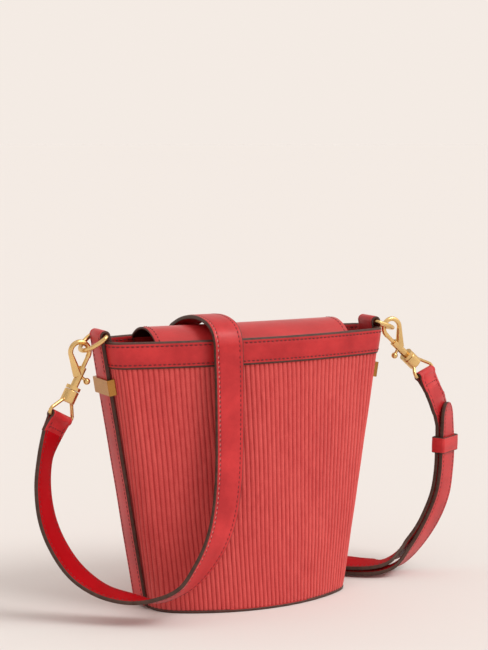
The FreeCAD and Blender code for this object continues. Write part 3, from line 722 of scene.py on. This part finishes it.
# Centre and width direction at each route point: the CAD's points, except where its runs meet the arch.
# Left rows 1 to 8 and right rows 13 to 19 were worked out by a separate fitting script, the rest by hand.
LEFT_RUN = [
    (-150.3, -2.6, 113.2, 0.67, 0.69, -0.28), (-153.4, -5.4, 93.0, 0.71, 0.69, -0.13),
    (-151.9, -8.8, 71.4, 0.73, 0.69, 0.04), (-145.1, -12.2, 51.6, 0.68, 0.71, 0.16),
    (-134.3, -17.7, 34.2, 0.65, 0.74, 0.17), (-119.9, -27.0, 22.2, 0.60, 0.79, 0.08),
    (-104.0, -38.0, 17.2, 0.56, 0.83, 0.0), (-88.7, -48.2, 16.5, 0.52, 0.80, -0.29),
    (-73, -55.5, 23.5, 0.58, 0.74, -0.33), (-59.5, -57.5, 37, 0.70, 0.55, -0.45),
    (-48.5, -57, 53, 0.84, 0.37, -0.38), (-40.5, -54.5, 72, 0.94, 0.22, -0.22),
    (-35.5, -51, 97, 0.98, 0.15, -0.07), (-33, -47.5, 125, 0.99, 0.10, 0),
    (-31, -43.5, 155, 1, 0.05, 0), (-30, -40.2, 181, 1, 0, 0)]
ARCH = [
    (-30, -39.4, 188.5, 1, 0, 0), (-30, -35.8, 195.5, 1, 0, 0),
    (-30, -27.5, 200.6, 1, 0, 0), (-30, -14, 203.2, 1, 0, 0), (-30, 0, 203, 1, 0, 0),
    (-30, 14, 200.6, 1, 0, 0), (-30, 25, 197, 1, 0, 0), (-30, 34, 192.8, 1, 0, 0),
    (-30, 38.8, 187, 1, 0, 0), (-30, 40.2, 180, 1, 0, 0)]
RIGHT_RUN = [
    (-29.7, 42.0, 165, 1, 0, 0), (-29, 43.5, 150, 1, 0, 0.03), (-25, 47.5, 118, 0.99, 0, 0.12),
    (-16, 52, 88, 0.95, 0.05, 0.30), (0, 56.5, 62, 0.86, 0.15, 0.48),
    (20, 60, 40, 0.74, 0.40, 0.45), (42, 59, 22, 0.62, 0.66, 0.36), (64, 49, 12, 0.60, 0.75, 0.22),
    (83, 30, 6.2, 0.62, 0.75, 0.16), (100, 11, 4.2, 0.55, 0.82, 0.12),
    (116, 0, 4.1, 0.45, 0.89, -0.03), (131, -2, 7.6, 0.53, 0.80, -0.26),
    (143.3, -1.9, 16.0, 0.44, 0.68, -0.58), (155.2, -1.5, 28.7, 0.62, 0.58, -0.53),
    (164.9, -1.4, 43.1, 0.75, 0.51, -0.41), (171.4, -1.4, 58.3, 0.83, 0.50, -0.25),
    (174.3, -1.3, 75.2, 0.85, 0.52, -0.10), (175.2, -1.3, 92.0, 0.86, 0.52, -0.01),
    (174.9, -1.6, 110.0, 0.81, 0.58, 0.06), (173.7, -2.6, 128.0, 0.76, 0.65, 0.05)]
SHORT_TOP = [
    (162.6, -5.2, 132.3, 0.85, 0.47, 0.18), (166.7, -3.1, 125.4, 0.82, 0.55, 0.12),
    (170.0, -0.5, 118.8, 0.81, 0.58, 0.08), (172.5, 1.5, 111.2, 0.82, 0.57, 0.04)]
LAYER_STEP = 3.7
KEEPER_POINT = 17
BUCKLE_POINT = 5
LOOSE_STEPS = {9: 0.4, 10: 1.2, 11: 2.2, 12: 1.2}


def fold_start(side):
    middle, down, bar = bar_frame(side)
    return (*(middle + down * (FOLD_LENGTH - 0.4)), *bar)


def right_axes(index):
    """Centre, direction, width direction and inward normal at a point of the right run."""
    centre = Vector(RIGHT_RUN[index][:3])
    along = (Vector(RIGHT_RUN[index + 1][:3]) - Vector(RIGHT_RUN[index - 1][:3])).normalized()
    width = Vector(RIGHT_RUN[index][3:])
    across = (width - along * width.dot(along)).normalized()
    return centre, along, across, along.cross(across)


def short_route():
    """The short strap lies inside the long one from the buckle to above the keeper."""
    route = [fold_start("right")] + SHORT_TOP
    for index in range(KEEPER_POINT, BUCKLE_POINT - 1, -1):
        centre, along, across, inward = right_axes(index)
        step = LAYER_STEP + LOOSE_STEPS.get(index, 0.0)
        route.append((*(centre + inward * step), *across))
    return route


PER_SPAN = 12
long_route = [fold_start("left")] + LEFT_RUN + ARCH + RIGHT_RUN
long_stations = strap_stations(long_route, PER_SPAN)
short_stations = strap_stations(short_route(), PER_SPAN)
tip_reach = long_stations[-1].reach


def tip_width(reach):
    """Rounds the long strap's free end."""
    left = tip_reach - reach
    if left > 11.0:
        return 1.0
    return max(0.12, math.sqrt(max(0.0, 1.0 - ((11.0 - left) / 11.0) ** 2)))


def span(first, last):
    """Route points first to last as a slice of the long strap's stations."""
    return long_stations[first * PER_SPAN:last * PER_SPAN + 1]


def dense_tip(stations):
    """Adds stations near the free end, so that its outline is round."""
    result = stations[:-14]
    tail = stations[-14:]
    for a, b in zip(tail, tail[1:]):
        for k in range(4):
            t = k / 4
            result.append(Station(a.centre.lerp(b.centre, t), a.along.lerp(b.along, t).normalized(),
                                  a.across.lerp(b.across, t).normalized(),
                                  a.reach + (b.reach - a.reach) * t))
    result.append(tail[-1])
    return result


def strap_piece(name, stations, cad, ride=None, ends=(False, False), width_at=None, outward=1,
                painted_highlight_row=False):
    """One length of strap with its stitches."""
    faces = [strap_mat, shaded_strap_inner_mat, strap_edge]
    if outward < 0:
        faces = [shaded_strap_inner_mat, strap_mat, strap_edge]
    strap = strap_mesh(name, stations, faces, width_at, ends)
    sewn = [strap_stitches(name + "_stitches", stations, width_at=width_at)]
    if painted_highlight_row:
        sewn.append(pale_highlights(name + "_thread_shine", stations, outward))
    for piece in (strap, *sewn):
        if ride:
            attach(piece, ride)
        else:
            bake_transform(piece)
    if cad:
        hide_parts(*cad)
    return strap


def bend_down(name, stations, bodies, stops, outward):
    """Strap under a snap: one stretch for each link of the chain, cut at the stops."""
    for k, (a, b) in enumerate(zip(bodies, bodies[1:])):
        first, last = stops[k], stops[k + 1]
        strap_piece(name + "_" + str(k + 1), stations[first:last + 1], None,
                    ends=(k == 0, False), outward=outward)


def outward_sign(station):
    """1 where the strap's outer face looks along the normal, away from the bag's front, else -1."""
    return 1 if station.normal.y < 0 else -1


# Stations where each stretch starts and ends
LEFT_STOPS, LEFT_INSET = (0, 12, 50, 9 * PER_SPAN), 3.0
SHORT_STOPS, SHORT_INSET = (0, 10, 25, 51), 1.4
# Which way the outer face looks, on the long strap and on the short one
OUTWARD = outward_sign(span(14, 15)[0])
SHORT_OUTWARD = outward_sign(short_stations[3 * PER_SPAN])
bend_down("strap_left_leg", long_stations, ("swivel_left", "hook_left", "ring_left", "bag"),
          LEFT_STOPS, OUTWARD)
strap_piece("strap_front", span(9, 16), ("strap_front_run",),
            outward=OUTWARD, painted_highlight_row=True)
strap_piece("strap_over", span(16, 26), ("strap_arch",), ride="strap_top", outward=OUTWARD, painted_highlight_row=True)
strap_piece("strap_back", span(26, 34), ("strap_back_run",),
            outward=OUTWARD)
last_point = len(long_route) - 1
right_leg = dense_tip(span(34, last_point))
strap_piece("strap_right_leg", right_leg, None, ride="bag", ends=(False, True), width_at=tip_width,
            outward=OUTWARD)
bend_down("strap_short_top", short_stations, ("swivel_right", "hook_right", "ring_right", "bag"),
          SHORT_STOPS, SHORT_OUTWARD)
strap_piece("strap_short", short_stations[SHORT_STOPS[-1]:], ("strap_short_run",), ride="bag",
            ends=(False, True), outward=SHORT_OUTWARD)


# ---------------------------------------------------------------- folds round the dees
def turn_points(radius, gap):
    """Points round the dee's bar, all but gap degrees on each side of the way down the strap."""
    angles = [math.radians(-gap - (360 - 2 * gap) * k / 14) for k in range(15)]
    return [(radius * math.cos(angle), radius * math.sin(angle)) for angle in angles]


def strap_fold(side):
    """The strap's end turned round the dee's bar and sewn back on itself."""
    centre, down, bar = bar_frame(side)
    normal = bar.cross(down)
    leg = [(12.6, -1.45), (9.0, -1.5), (5.5, -1.9)]
    slit = [(12.6, -0.02), (5.2, -0.05)]
    path = leg + turn_points(3.4, 42) + [(d, -n) for d, n in reversed(leg)]
    inside = slit + turn_points(1.65, 25) + [(d, -n) for d, n in reversed(slit)]
    points = []
    widths = [-11.0, -10.75, -8.3, -8.0, -7.7, 0.0, 7.7, 8.0, 8.3, 10.75, 11.0]
    dips = [0.35, 0.0, 0.0, 0.15, 0.0, -0.05, 0.0, 0.15, 0.0, 0.0, 0.35]
    for w, dip in zip(widths, dips):
        for d, n in path:
            length = math.hypot(d, n) if d < 5 else abs(n)
            shrink = (length - dip) / length
            reach = d * shrink if d < 5 else d
            points.append(centre + bar * w + down * reach + normal * (n * shrink))
    columns = len(path)
    faces = sheet_faces(len(widths), columns)
    slots = [0] * len(faces)
    first_inner = len(points)
    for w in (-11.0, 11.0):
        for d, n in inside:
            points.append(centre + bar * w + down * d + normal * n)
    inner_columns = len(inside)
    for c in range(inner_columns - 1):
        a = first_inner + c
        faces.append((a, a + inner_columns, a + inner_columns + 1, a + 1))
        slots.append(1)
    made = make_mesh("strap_fold_skin_" + side, points, faces, [leather_mat, shaded_strap_inner_mat, strap_edge],
                     slots)
    side_points, side_faces, count = [], [], 60
    for rim, hole in ((0, first_inner), ((len(widths) - 1) * columns, first_inner + inner_columns)):
        rim_points = points[rim:rim + columns]
        hole_points = points[hole:hole + inner_columns]
        start = len(side_points)
        for k in range(count + 1):
            t = k / count
            side_points.append(sample(rim_points, t))
            side_points.append(sample(hole_points, t))
        for k in range(count):
            a = start + 2 * k
            side_faces.append((a, a + 1, a + 3, a + 2))
    edges = make_mesh("strap_fold_edges_" + side, side_points, side_faces, [strap_edge])
    places = []
    for face in (1, -1):
        for w in (-8.0, 8.0):
            line = [(centre + bar * w + down * d + normal * (face * n), normal * face)
                    for d, n in ((4.6, 1.95), (6, 1.75), (9, 1.42), (12.2, 1.36))]
            places += along_line(line, 2.9)
        line = [(centre + bar * w + down * 8.2 + normal * (face * 1.50), normal * face)
                for w in (-8, -4, 0, 4, 8)]
        places += along_line(line, 2.9)
    sewn = stitch_mesh("strap_fold_stitches_" + side, places, 2.2, 0.40)
    return made, edges, sewn


def sample(line, t):
    """Point a share t along a polyline."""
    total = sum((b - a).length for a, b in zip(line, line[1:]))
    want = total * t
    for a, b in zip(line, line[1:]):
        length = (b - a).length
        if want <= length or b is line[-1]:
            return a.lerp(b, min(1.0, want / length) if length else 0.0)
        want -= length
    return line[-1]


for side in ("left", "right"):
    skin, edges, sewn = strap_fold(side)
    finish_piece(skin, "swivel_" + side, "strap_leather", "strap_fold_" + side)
    finish_piece(edges, "swivel_" + side, "strap_leather")
    finish_piece(sewn, "swivel_" + side, "strap_leather")


# ---------------------------------------------------------------- flap
FLAP_HALF = 76.0


def flap_front_y(x):
    wide, deep, corner, flat, radius, turn = edge_lengths(RIM, -3.2)
    return -(deep - radius + math.sqrt(radius ** 2 - x ** 2) - 2.0)


def flap_line(x, inset):
    """Flap cross-section as a list of (y, z) from the front lip to the hinge."""
    front = flap_front_y(x) + inset
    crown = BODY_HEIGHT + 7.5 - inset
    back = HINGE_Y + 1.0 - inset * 0.85
    back_z = HINGE_Z - 0.6 - inset
    mid = (front + HINGE_Y - inset) / 2 - 1.0
    line = [(front, 182.0), (front, 185.5)]
    p0, p1, p2 = (front, 189.0), (mid, crown), (back, back_z)
    line += arc_points(p0, p1, p2, 34)
    return line


def arc_points(a, b, c, count):
    """Points on the circle through three (y, z) points, from a to c."""
    ax, ay, bx, by, cx, cy = *a, *b, *c
    d = 2 * (ax * (by - cy) + bx * (cy - ay) + cx * (ay - by))
    a2, b2, c2 = ax * ax + ay * ay, bx * bx + by * by, cx * cx + cy * cy
    ux = (a2 * (by - cy) + b2 * (cy - ay) + c2 * (ay - by)) / d
    uy = (a2 * (cx - bx) + b2 * (ax - cx) + c2 * (bx - ax)) / d
    radius = math.hypot(ax - ux, ay - uy)
    first = math.atan2(ay - uy, ax - ux)
    last = math.atan2(cy - uy, cx - ux)
    if last > first:
        last -= 2 * math.pi
    return [(ux + radius * math.cos(first + (last - first) * k / count),
             uy + radius * math.sin(first + (last - first) * k / count)) for k in range(count + 1)]


def flap_skin():
    """Leather flap, its lining and painted edges in one piece, from the front lip to the hinge."""
    columns = 61
    xs = [-FLAP_HALF + 2 * FLAP_HALF * k / (columns - 1) for k in range(columns)]
    outer_rows = [flap_line(x, 0.0) for x in xs]
    inner_rows = [flap_line(x, 1.7) for x in xs]
    count = len(outer_rows[0])
    points, uvs, faces, slots = [], [], [], []

    def put(x, y, z):
        points.append(Vector((x, y, z)))
        uvs.append((x * M, (y + z) * M))
        return len(points) - 1

    outer = [[put(x, y, z) for y, z in row] for x, row in zip(xs, outer_rows)]
    inner = [[put(x, y, z) for y, z in row] for x, row in zip(xs, inner_rows)]
    for c in range(columns - 1):
        for r in range(count - 1):
            faces.append((outer[c][r], outer[c][r + 1], outer[c + 1][r + 1], outer[c + 1][r]))
            slots.append(0)
            faces.append((inner[c][r], inner[c + 1][r], inner[c + 1][r + 1], inner[c][r + 1]))
            slots.append(1)
    for side_sign, c in ((-1, 0), (1, columns - 1)):
        x = xs[c]
        middle = []
        for r in range(count):
            oy, oz = outer_rows[c][r]
            iy, iz = inner_rows[c][r]
            middle.append(put(x + side_sign * 0.45, (oy + iy) / 2, (oz + iz) / 2))
        for r in range(count - 1):
            quads = [(outer[c][r], middle[r], middle[r + 1], outer[c][r + 1]),
                     (middle[r], inner[c][r], inner[c][r + 1], middle[r + 1])]
            for quad in quads:
                faces.append(quad if side_sign < 0 else quad[::-1])
                slots.append(2)
    for r in (0, count - 1):
        for c in range(columns - 1):
            quad = (outer[c][r], outer[c + 1][r], inner[c + 1][r], inner[c][r])
            faces.append(quad if r == 0 else quad[::-1])
            slots.append(2)
    made = make_mesh("flap_skin", points, faces, [flap_mat, flap_under_shade_mat, dark_edge], slots, uvs)
    places = []
    for sign in (-1, 1):
        x = sign * (FLAP_HALF - 3.0)
        row = flap_line(x, 0.0)
        line = []
        for k in range(1, len(row) - 3):
            y, z = row[k]
            py, pz = row[k - 1]
            tangent = Vector((0, y - py, z - pz)).normalized()
            normal = Vector((0, -tangent.z, tangent.y))
            line.append((Vector((x, y, z)) - normal * 0.05, normal))
        places += along_line(line, 3.4)
    sewn = stitch_mesh("flap_stitches", places, 2.4, 0.42)
    return made, sewn


skin, sewn = flap_skin()
finish_piece(skin, "flap", "leather", "flap_leather", "flap_lining")
finish_piece(sewn, "flap", "leather")


def flap_tail():
    """Leather that carries the flap, sewn inside the back wall and bending at the hinge line."""
    columns, rows = 61, 14
    points, uvs = [], []
    for face in (0, 1):
        for c in range(columns):
            x = -FLAP_HALF + 1.0 + 2 * (FLAP_HALF - 1.0) * c / (columns - 1)
            wide, deep, corner, flat, radius, turn = edge_lengths(
                tuple(b + (r - b) * 160 / BODY_HEIGHT for b, r in zip(BASE, RIM)), -3.0)
            wall_y = deep - radius + math.sqrt(radius ** 2 - x ** 2) - 0.6
            p0 = Vector((x, HINGE_Y + 0.8, HINGE_Z - 1.2))
            p1 = Vector((x, HINGE_Y + 0.6, HINGE_Z - 8.0))
            p2 = Vector((x, wall_y, 160.0))
            for r in range(rows):
                t = r / (rows - 1)
                point = p0 * (1 - t) ** 2 + p1 * 2 * t * (1 - t) + p2 * t ** 2
                point.y -= 1.3 * face
                points.append(point)
                uvs.append((x * M, point.z * M))
    faces = sheet_faces(columns, rows, False, True)
    shift = columns * rows
    faces += [tuple(v + shift for v in f[::-1]) for f in faces]
    slots = [1] * (len(faces) // 2) + [0] * (len(faces) // 2)
    border = [c * rows for c in range(columns)]
    border += [(columns - 1) * rows + r for r in range(1, rows)]
    border += [c * rows + rows - 1 for c in range(columns - 2, -1, -1)]
    border += [r for r in range(rows - 2, 0, -1)]
    for a, b in zip(border, border[1:] + border[:1]):
        faces.append((a, b, b + shift, a + shift))
        slots.append(2)
    return make_mesh("flap_tail", points, faces, [flap_mat, flap_under_shade_mat, dark_edge], slots, uvs)


finish_piece(flap_tail(), "bag", "leather", "flap_base")


# ---------------------------------------------------------------- side strips and keeper
STRIP_HALF = 10.0
STRIP_PROUD = {"left": 3.3, "right": 2.2}
FERRULE_Z = 159.0


def strip_outline(side):
    """Closed outline of the strip as (distance from the middle, height) pairs."""
    centre = end_x(LOOP_Z, 0) + LOOP_SHIFT[side]
    low = 2.6
    outline = []
    for k in range(31):
        t = k / 30
        z = low + (LOOP_Z - low) * t
        sag = 0.35 * noise.noise(Vector((z * 0.03, 2.0 if side == "left" else 6.0, 0)))
        x = end_x(low, STRIP_PROUD[side]) * (1 - t) + (centre + LOOP_OUTER) * t
        outline.append((x + sag * math.sin(math.pi * t), z))
    for k in range(1, 13):
        angle = math.pi * k / 12
        outline.append((centre + LOOP_OUTER * math.cos(angle), LOOP_Z + LOOP_OUTER * math.sin(angle)))
    outline.append((end_x(190, -5.1), 188.5))
    outline.append((end_x(166, -5.1), 166.0))
    outline.append((end_x(166, -3.4), 166.0))
    outline.append((end_x(190, -3.4), 189.8))
    outline.append((centre - LOOP_INNER, 190.8))
    for k in range(13):
        angle = math.pi - math.pi * k / 12
        outline.append((centre + LOOP_INNER * math.cos(angle), LOOP_Z + LOOP_INNER * math.sin(angle)))
    outline.append((centre + LOOP_INNER, 190.8))
    outline.append((end_x(190, 1.1), 190.0))
    outline.append((end_x(low, 1.1), low))
    return outline


def shrink_outline(outline, amount):
    """Moves each corner of a closed outline inwards along the mean of its two sides' normals."""
    count = len(outline)
    result = []
    for k in range(count):
        (ax, az), (bx, bz), (cx, cz) = outline[k - 1], outline[k], outline[(k + 1) % count]
        one = Vector((az - bz, bx - ax)).normalized()
        two = Vector((bz - cz, cx - bx)).normalized()
        step = (one + two).normalized() * amount
        result.append((bx + step.x, bz + step.y))
    return result


def strip_piece(side):
    """Leather strip up one end of the bag, over the ring and down inside, with its stitches."""
    sign = SIDES[side]
    outline = strip_outline(side)
    columns = len(outline)
    rows = [(-STRIP_HALF, 0.42), (-9.88, 0.16), (-9.5, 0.0), (-8.0, -0.06), (-7.6, 0.0), (-7.35, 0.16),
            (-7.1, 0.0), (-6.6, -0.08), (0.0, -0.1)]
    rows = rows + [(-y, inset) for y, inset in reversed(rows[:-1])]
    points, uvs = [], []
    for y, inset in rows:
        for x, z in shrink_outline(outline, inset):
            points.append(Vector((sign * x, y, z)))
            uvs.append((y * M, z * M))
    faces = sheet_faces(len(rows), columns, True, sign < 0)
    slots = []
    for low, high in zip(rows, rows[1:]):
        slots += [1 if abs(low[0] + high[0]) > 19.2 else 0] * columns
    first = tuple(range(columns))
    last = tuple(range((len(rows) - 1) * columns, len(rows) * columns))
    faces += [first if sign > 0 else first[::-1], last[::-1] if sign > 0 else last]
    slots += [1, 1]
    made = make_mesh("side_strip_skin_" + side, points, faces, [leather_mat, dark_edge], slots, uvs)
    for polygon in list(made.data.polygons)[-2:]:
        polygon.use_smooth = False
    places = []
    for y in (-7.35, 7.35):
        line = []
        for x, z in outline[1:31]:
            if abs(z - FERRULE_Z) < 8.0:
                if len(line) > 1:
                    places += along_line(line, 3.2)
                line = []
                continue
            normal = Vector((sign * 0.987, 0, -0.161))
            line.append((Vector((sign * x, y, z)) - normal * 0.02, normal))
        places += along_line(line, 3.2)
    sewn = stitch_mesh("side_strip_stitches_" + side, places, 2.4, 0.42, thread_mat)
    finish_piece(made, "bag", "leather", "side_strip_" + side)
    finish_piece(sewn, "bag", "leather")


for side in ("left", "right"):
    strip_piece(side)


def keeper_piece():
    """Folded leather loop that holds the short strap against the long one."""
    centre, along, across, normal = right_axes(KEEPER_POINT)
    centre = centre + normal * (LAYER_STEP / 2) + along * 4.0
    half_a = STRAP_WIDTH / 2 + 2.0
    half_n = LAYER_STEP / 2 + STRAP_THICKNESS / 2 + 2.1
    corner = 2.0
    outline = []
    for sx, sn, start in ((1, 1, 0), (-1, 1, 90), (-1, -1, 180), (1, -1, 270)):
        for k in range(7):
            angle = math.radians(start + 15 * k)
            outline.append((sx * (half_a - corner) + corner * math.cos(angle),
                            sn * (half_n - corner) + corner * math.sin(angle)))
    rows = [(-5.3, 1.05), (-5.95, 0.85), (-6.0, 0.5), (-5.9, 0.15), (-5.5, 0.0), (-4.2, -0.05),
            (-3.9, 0.12), (-3.6, -0.05), (0.0, -0.1)]
    rows = rows + [(-y, inset) for y, inset in reversed(rows[:-1])]
    rows.append((5.3, 1.1))
    columns = len(outline)
    points, uvs, slots = [], [], []
    for step, inset in rows:
        for a, n in outline:
            flat = Vector((a, n))
            flat -= Vector((a / half_a, n / half_n)).normalized() * inset
            points.append(centre + across * flat.x + normal * flat.y + along * step)
            uvs.append((step * M, math.atan2(n, a) * 0.01))
    faces = sheet_faces(len(rows), columns, True)
    for low, high in zip(rows, rows[1:]):
        slots += [1 if abs(low[0] + high[0]) > 11.2 else 0] * columns
    first_inner = (len(rows) - 1) * columns
    for c in range(columns):
        d = (c + 1) % columns
        faces.append((first_inner + c, first_inner + d, d, c))
        slots.append(0)
    made = make_mesh("strap_keeper_loop", points, faces, [leather_mat, dark_edge], slots, uvs)
    return finish_piece(made, "keeper", "leather", "strap_keeper")


keeper_piece()


# ---------------------------------------------------------------- carried-over nodes
def dress(name, material, angle=38.0, bevel=0.0):
    """Keeps a CAD node, with its own material and smooth shading; a small bevel only when one is asked for.
    """
    node = nodes[name]
    node.data.materials.clear()
    node.data.materials.append(material)
    if bevel:
        rounded = node.modifiers.new("edges", "BEVEL")
        rounded.width = bevel
        rounded.segments = 2
        rounded.limit_method = "ANGLE"
        rounded.angle_limit = math.radians(40)
    node.data.polygons.foreach_set("use_smooth", [True] * len(node.data.polygons))
    split = node.modifiers.new("split", "EDGE_SPLIT")
    split.split_angle = math.radians(angle)
    return node


for side in ("left", "right"):
    for part in ("dee_ring_", "snap_hook_", "snap_bolt_", "swivel_block_", "strap_dee_"):
        dress(part + side, brass_mat)
    dress("ferrule_" + side, ferrule_mat)
    dress("bolt_spring_" + side, steel_mat)
dress("buckle_frame", brass_mat)
dress("buckle_prong", brass_mat)
dress("base_board", board_mat)


# ---------------------------------------------------------------- stage, light and camera
HORIZON = (0.905, 0.832, 0.776)


def studio_floor():
    """Wide plain pale floor; the even studio light meets it at the horizon."""
    material, tree, shader = new_material("pale_floor")
    surface(tree, shader, {"Base Color": (0.757, 0.734, 0.719, 1.0), "Roughness": 0.95,
                           "Specular IOR Level": 0.0})
    reach = 80000.0
    corners = ((-reach, -reach), (reach, -reach), (reach, reach), (-reach, reach))
    points = [Vector((x, y, -0.05)) for x, y in corners]
    return make_mesh("studio_floor", points, [(0, 1, 2, 3)], [material], smooth=False)


def studio_world():
    """Even pale surround up to head height, a dimmer ceiling and a bright panel over the right front."""
    world = bpy.data.worlds.new("studio")
    world.use_nodes = True
    tree = world.node_tree
    place = tree.nodes.new("ShaderNodeTexCoord")
    split = tree.nodes.new("ShaderNodeSeparateXYZ")
    tree.links.new(place.outputs["Generated"], split.inputs["Vector"])
    ceiling = ramp(tree, split.outputs["Z"],
                   [(0.30, HORIZON), (0.52, (0.55, 0.51, 0.48)), (0.95, (0.95, 0.89, 0.84))])
    panel = tree.nodes.new("ShaderNodeVectorMath")
    panel.operation = "DOT_PRODUCT"
    panel.inputs[1].default_value = Vector((0.60, -0.35, 0.72)).normalized()
    tree.links.new(place.outputs["Generated"], panel.inputs[0])
    glow = ramp(tree, panel.outputs["Value"], [(0.84, (0, 0, 0)), (0.93, (1, 1, 1))])
    colour = mix(tree, glow, ceiling, (1.8, 1.72, 1.64))
    tree.links.new(colour, tree.nodes["Background"].inputs["Color"])
    tree.nodes["Background"].inputs["Strength"].default_value = 1.0
    return world


key_data = bpy.data.lights.new("key", "SUN")
key_data.energy = 1.05
key_data.angle = math.radians(24)
key_data.color = (1.0, 0.975, 0.95)
key = bpy.data.objects.new("key", key_data)
key.rotation_mode = "QUATERNION"
key.rotation_quaternion = Vector((-0.50, 0.66, -0.90)).to_track_quat("-Z", "Y")
bpy.context.scene.collection.objects.link(key)
studio_floor()
bpy.context.scene.world = studio_world()
bpy.context.scene.view_settings.view_transform = "Standard"

camera_data = bpy.data.cameras.new("camera")
camera_data.lens = 96.92
camera_data.sensor_width = 36.0
camera_data.clip_start = 0.05
camera_data.clip_end = 60.0
camera = bpy.data.objects.new("camera", camera_data)
bpy.context.scene.collection.objects.link(camera)
azimuth, elevation, distance = math.radians(-26.9), math.radians(6.2), 1.2478
backward = Vector((math.sin(azimuth) * math.cos(elevation), -math.cos(azimuth) * math.cos(elevation),
                   math.sin(elevation)))
target = Vector((math.cos(azimuth) * 0.0019, math.sin(azimuth) * 0.0019, 0.1953))
camera.location = target + backward * distance
camera.rotation_mode = "QUATERNION"
camera.rotation_quaternion = (-backward).to_track_quat("-Z", "Y")
bpy.context.scene.camera = camera
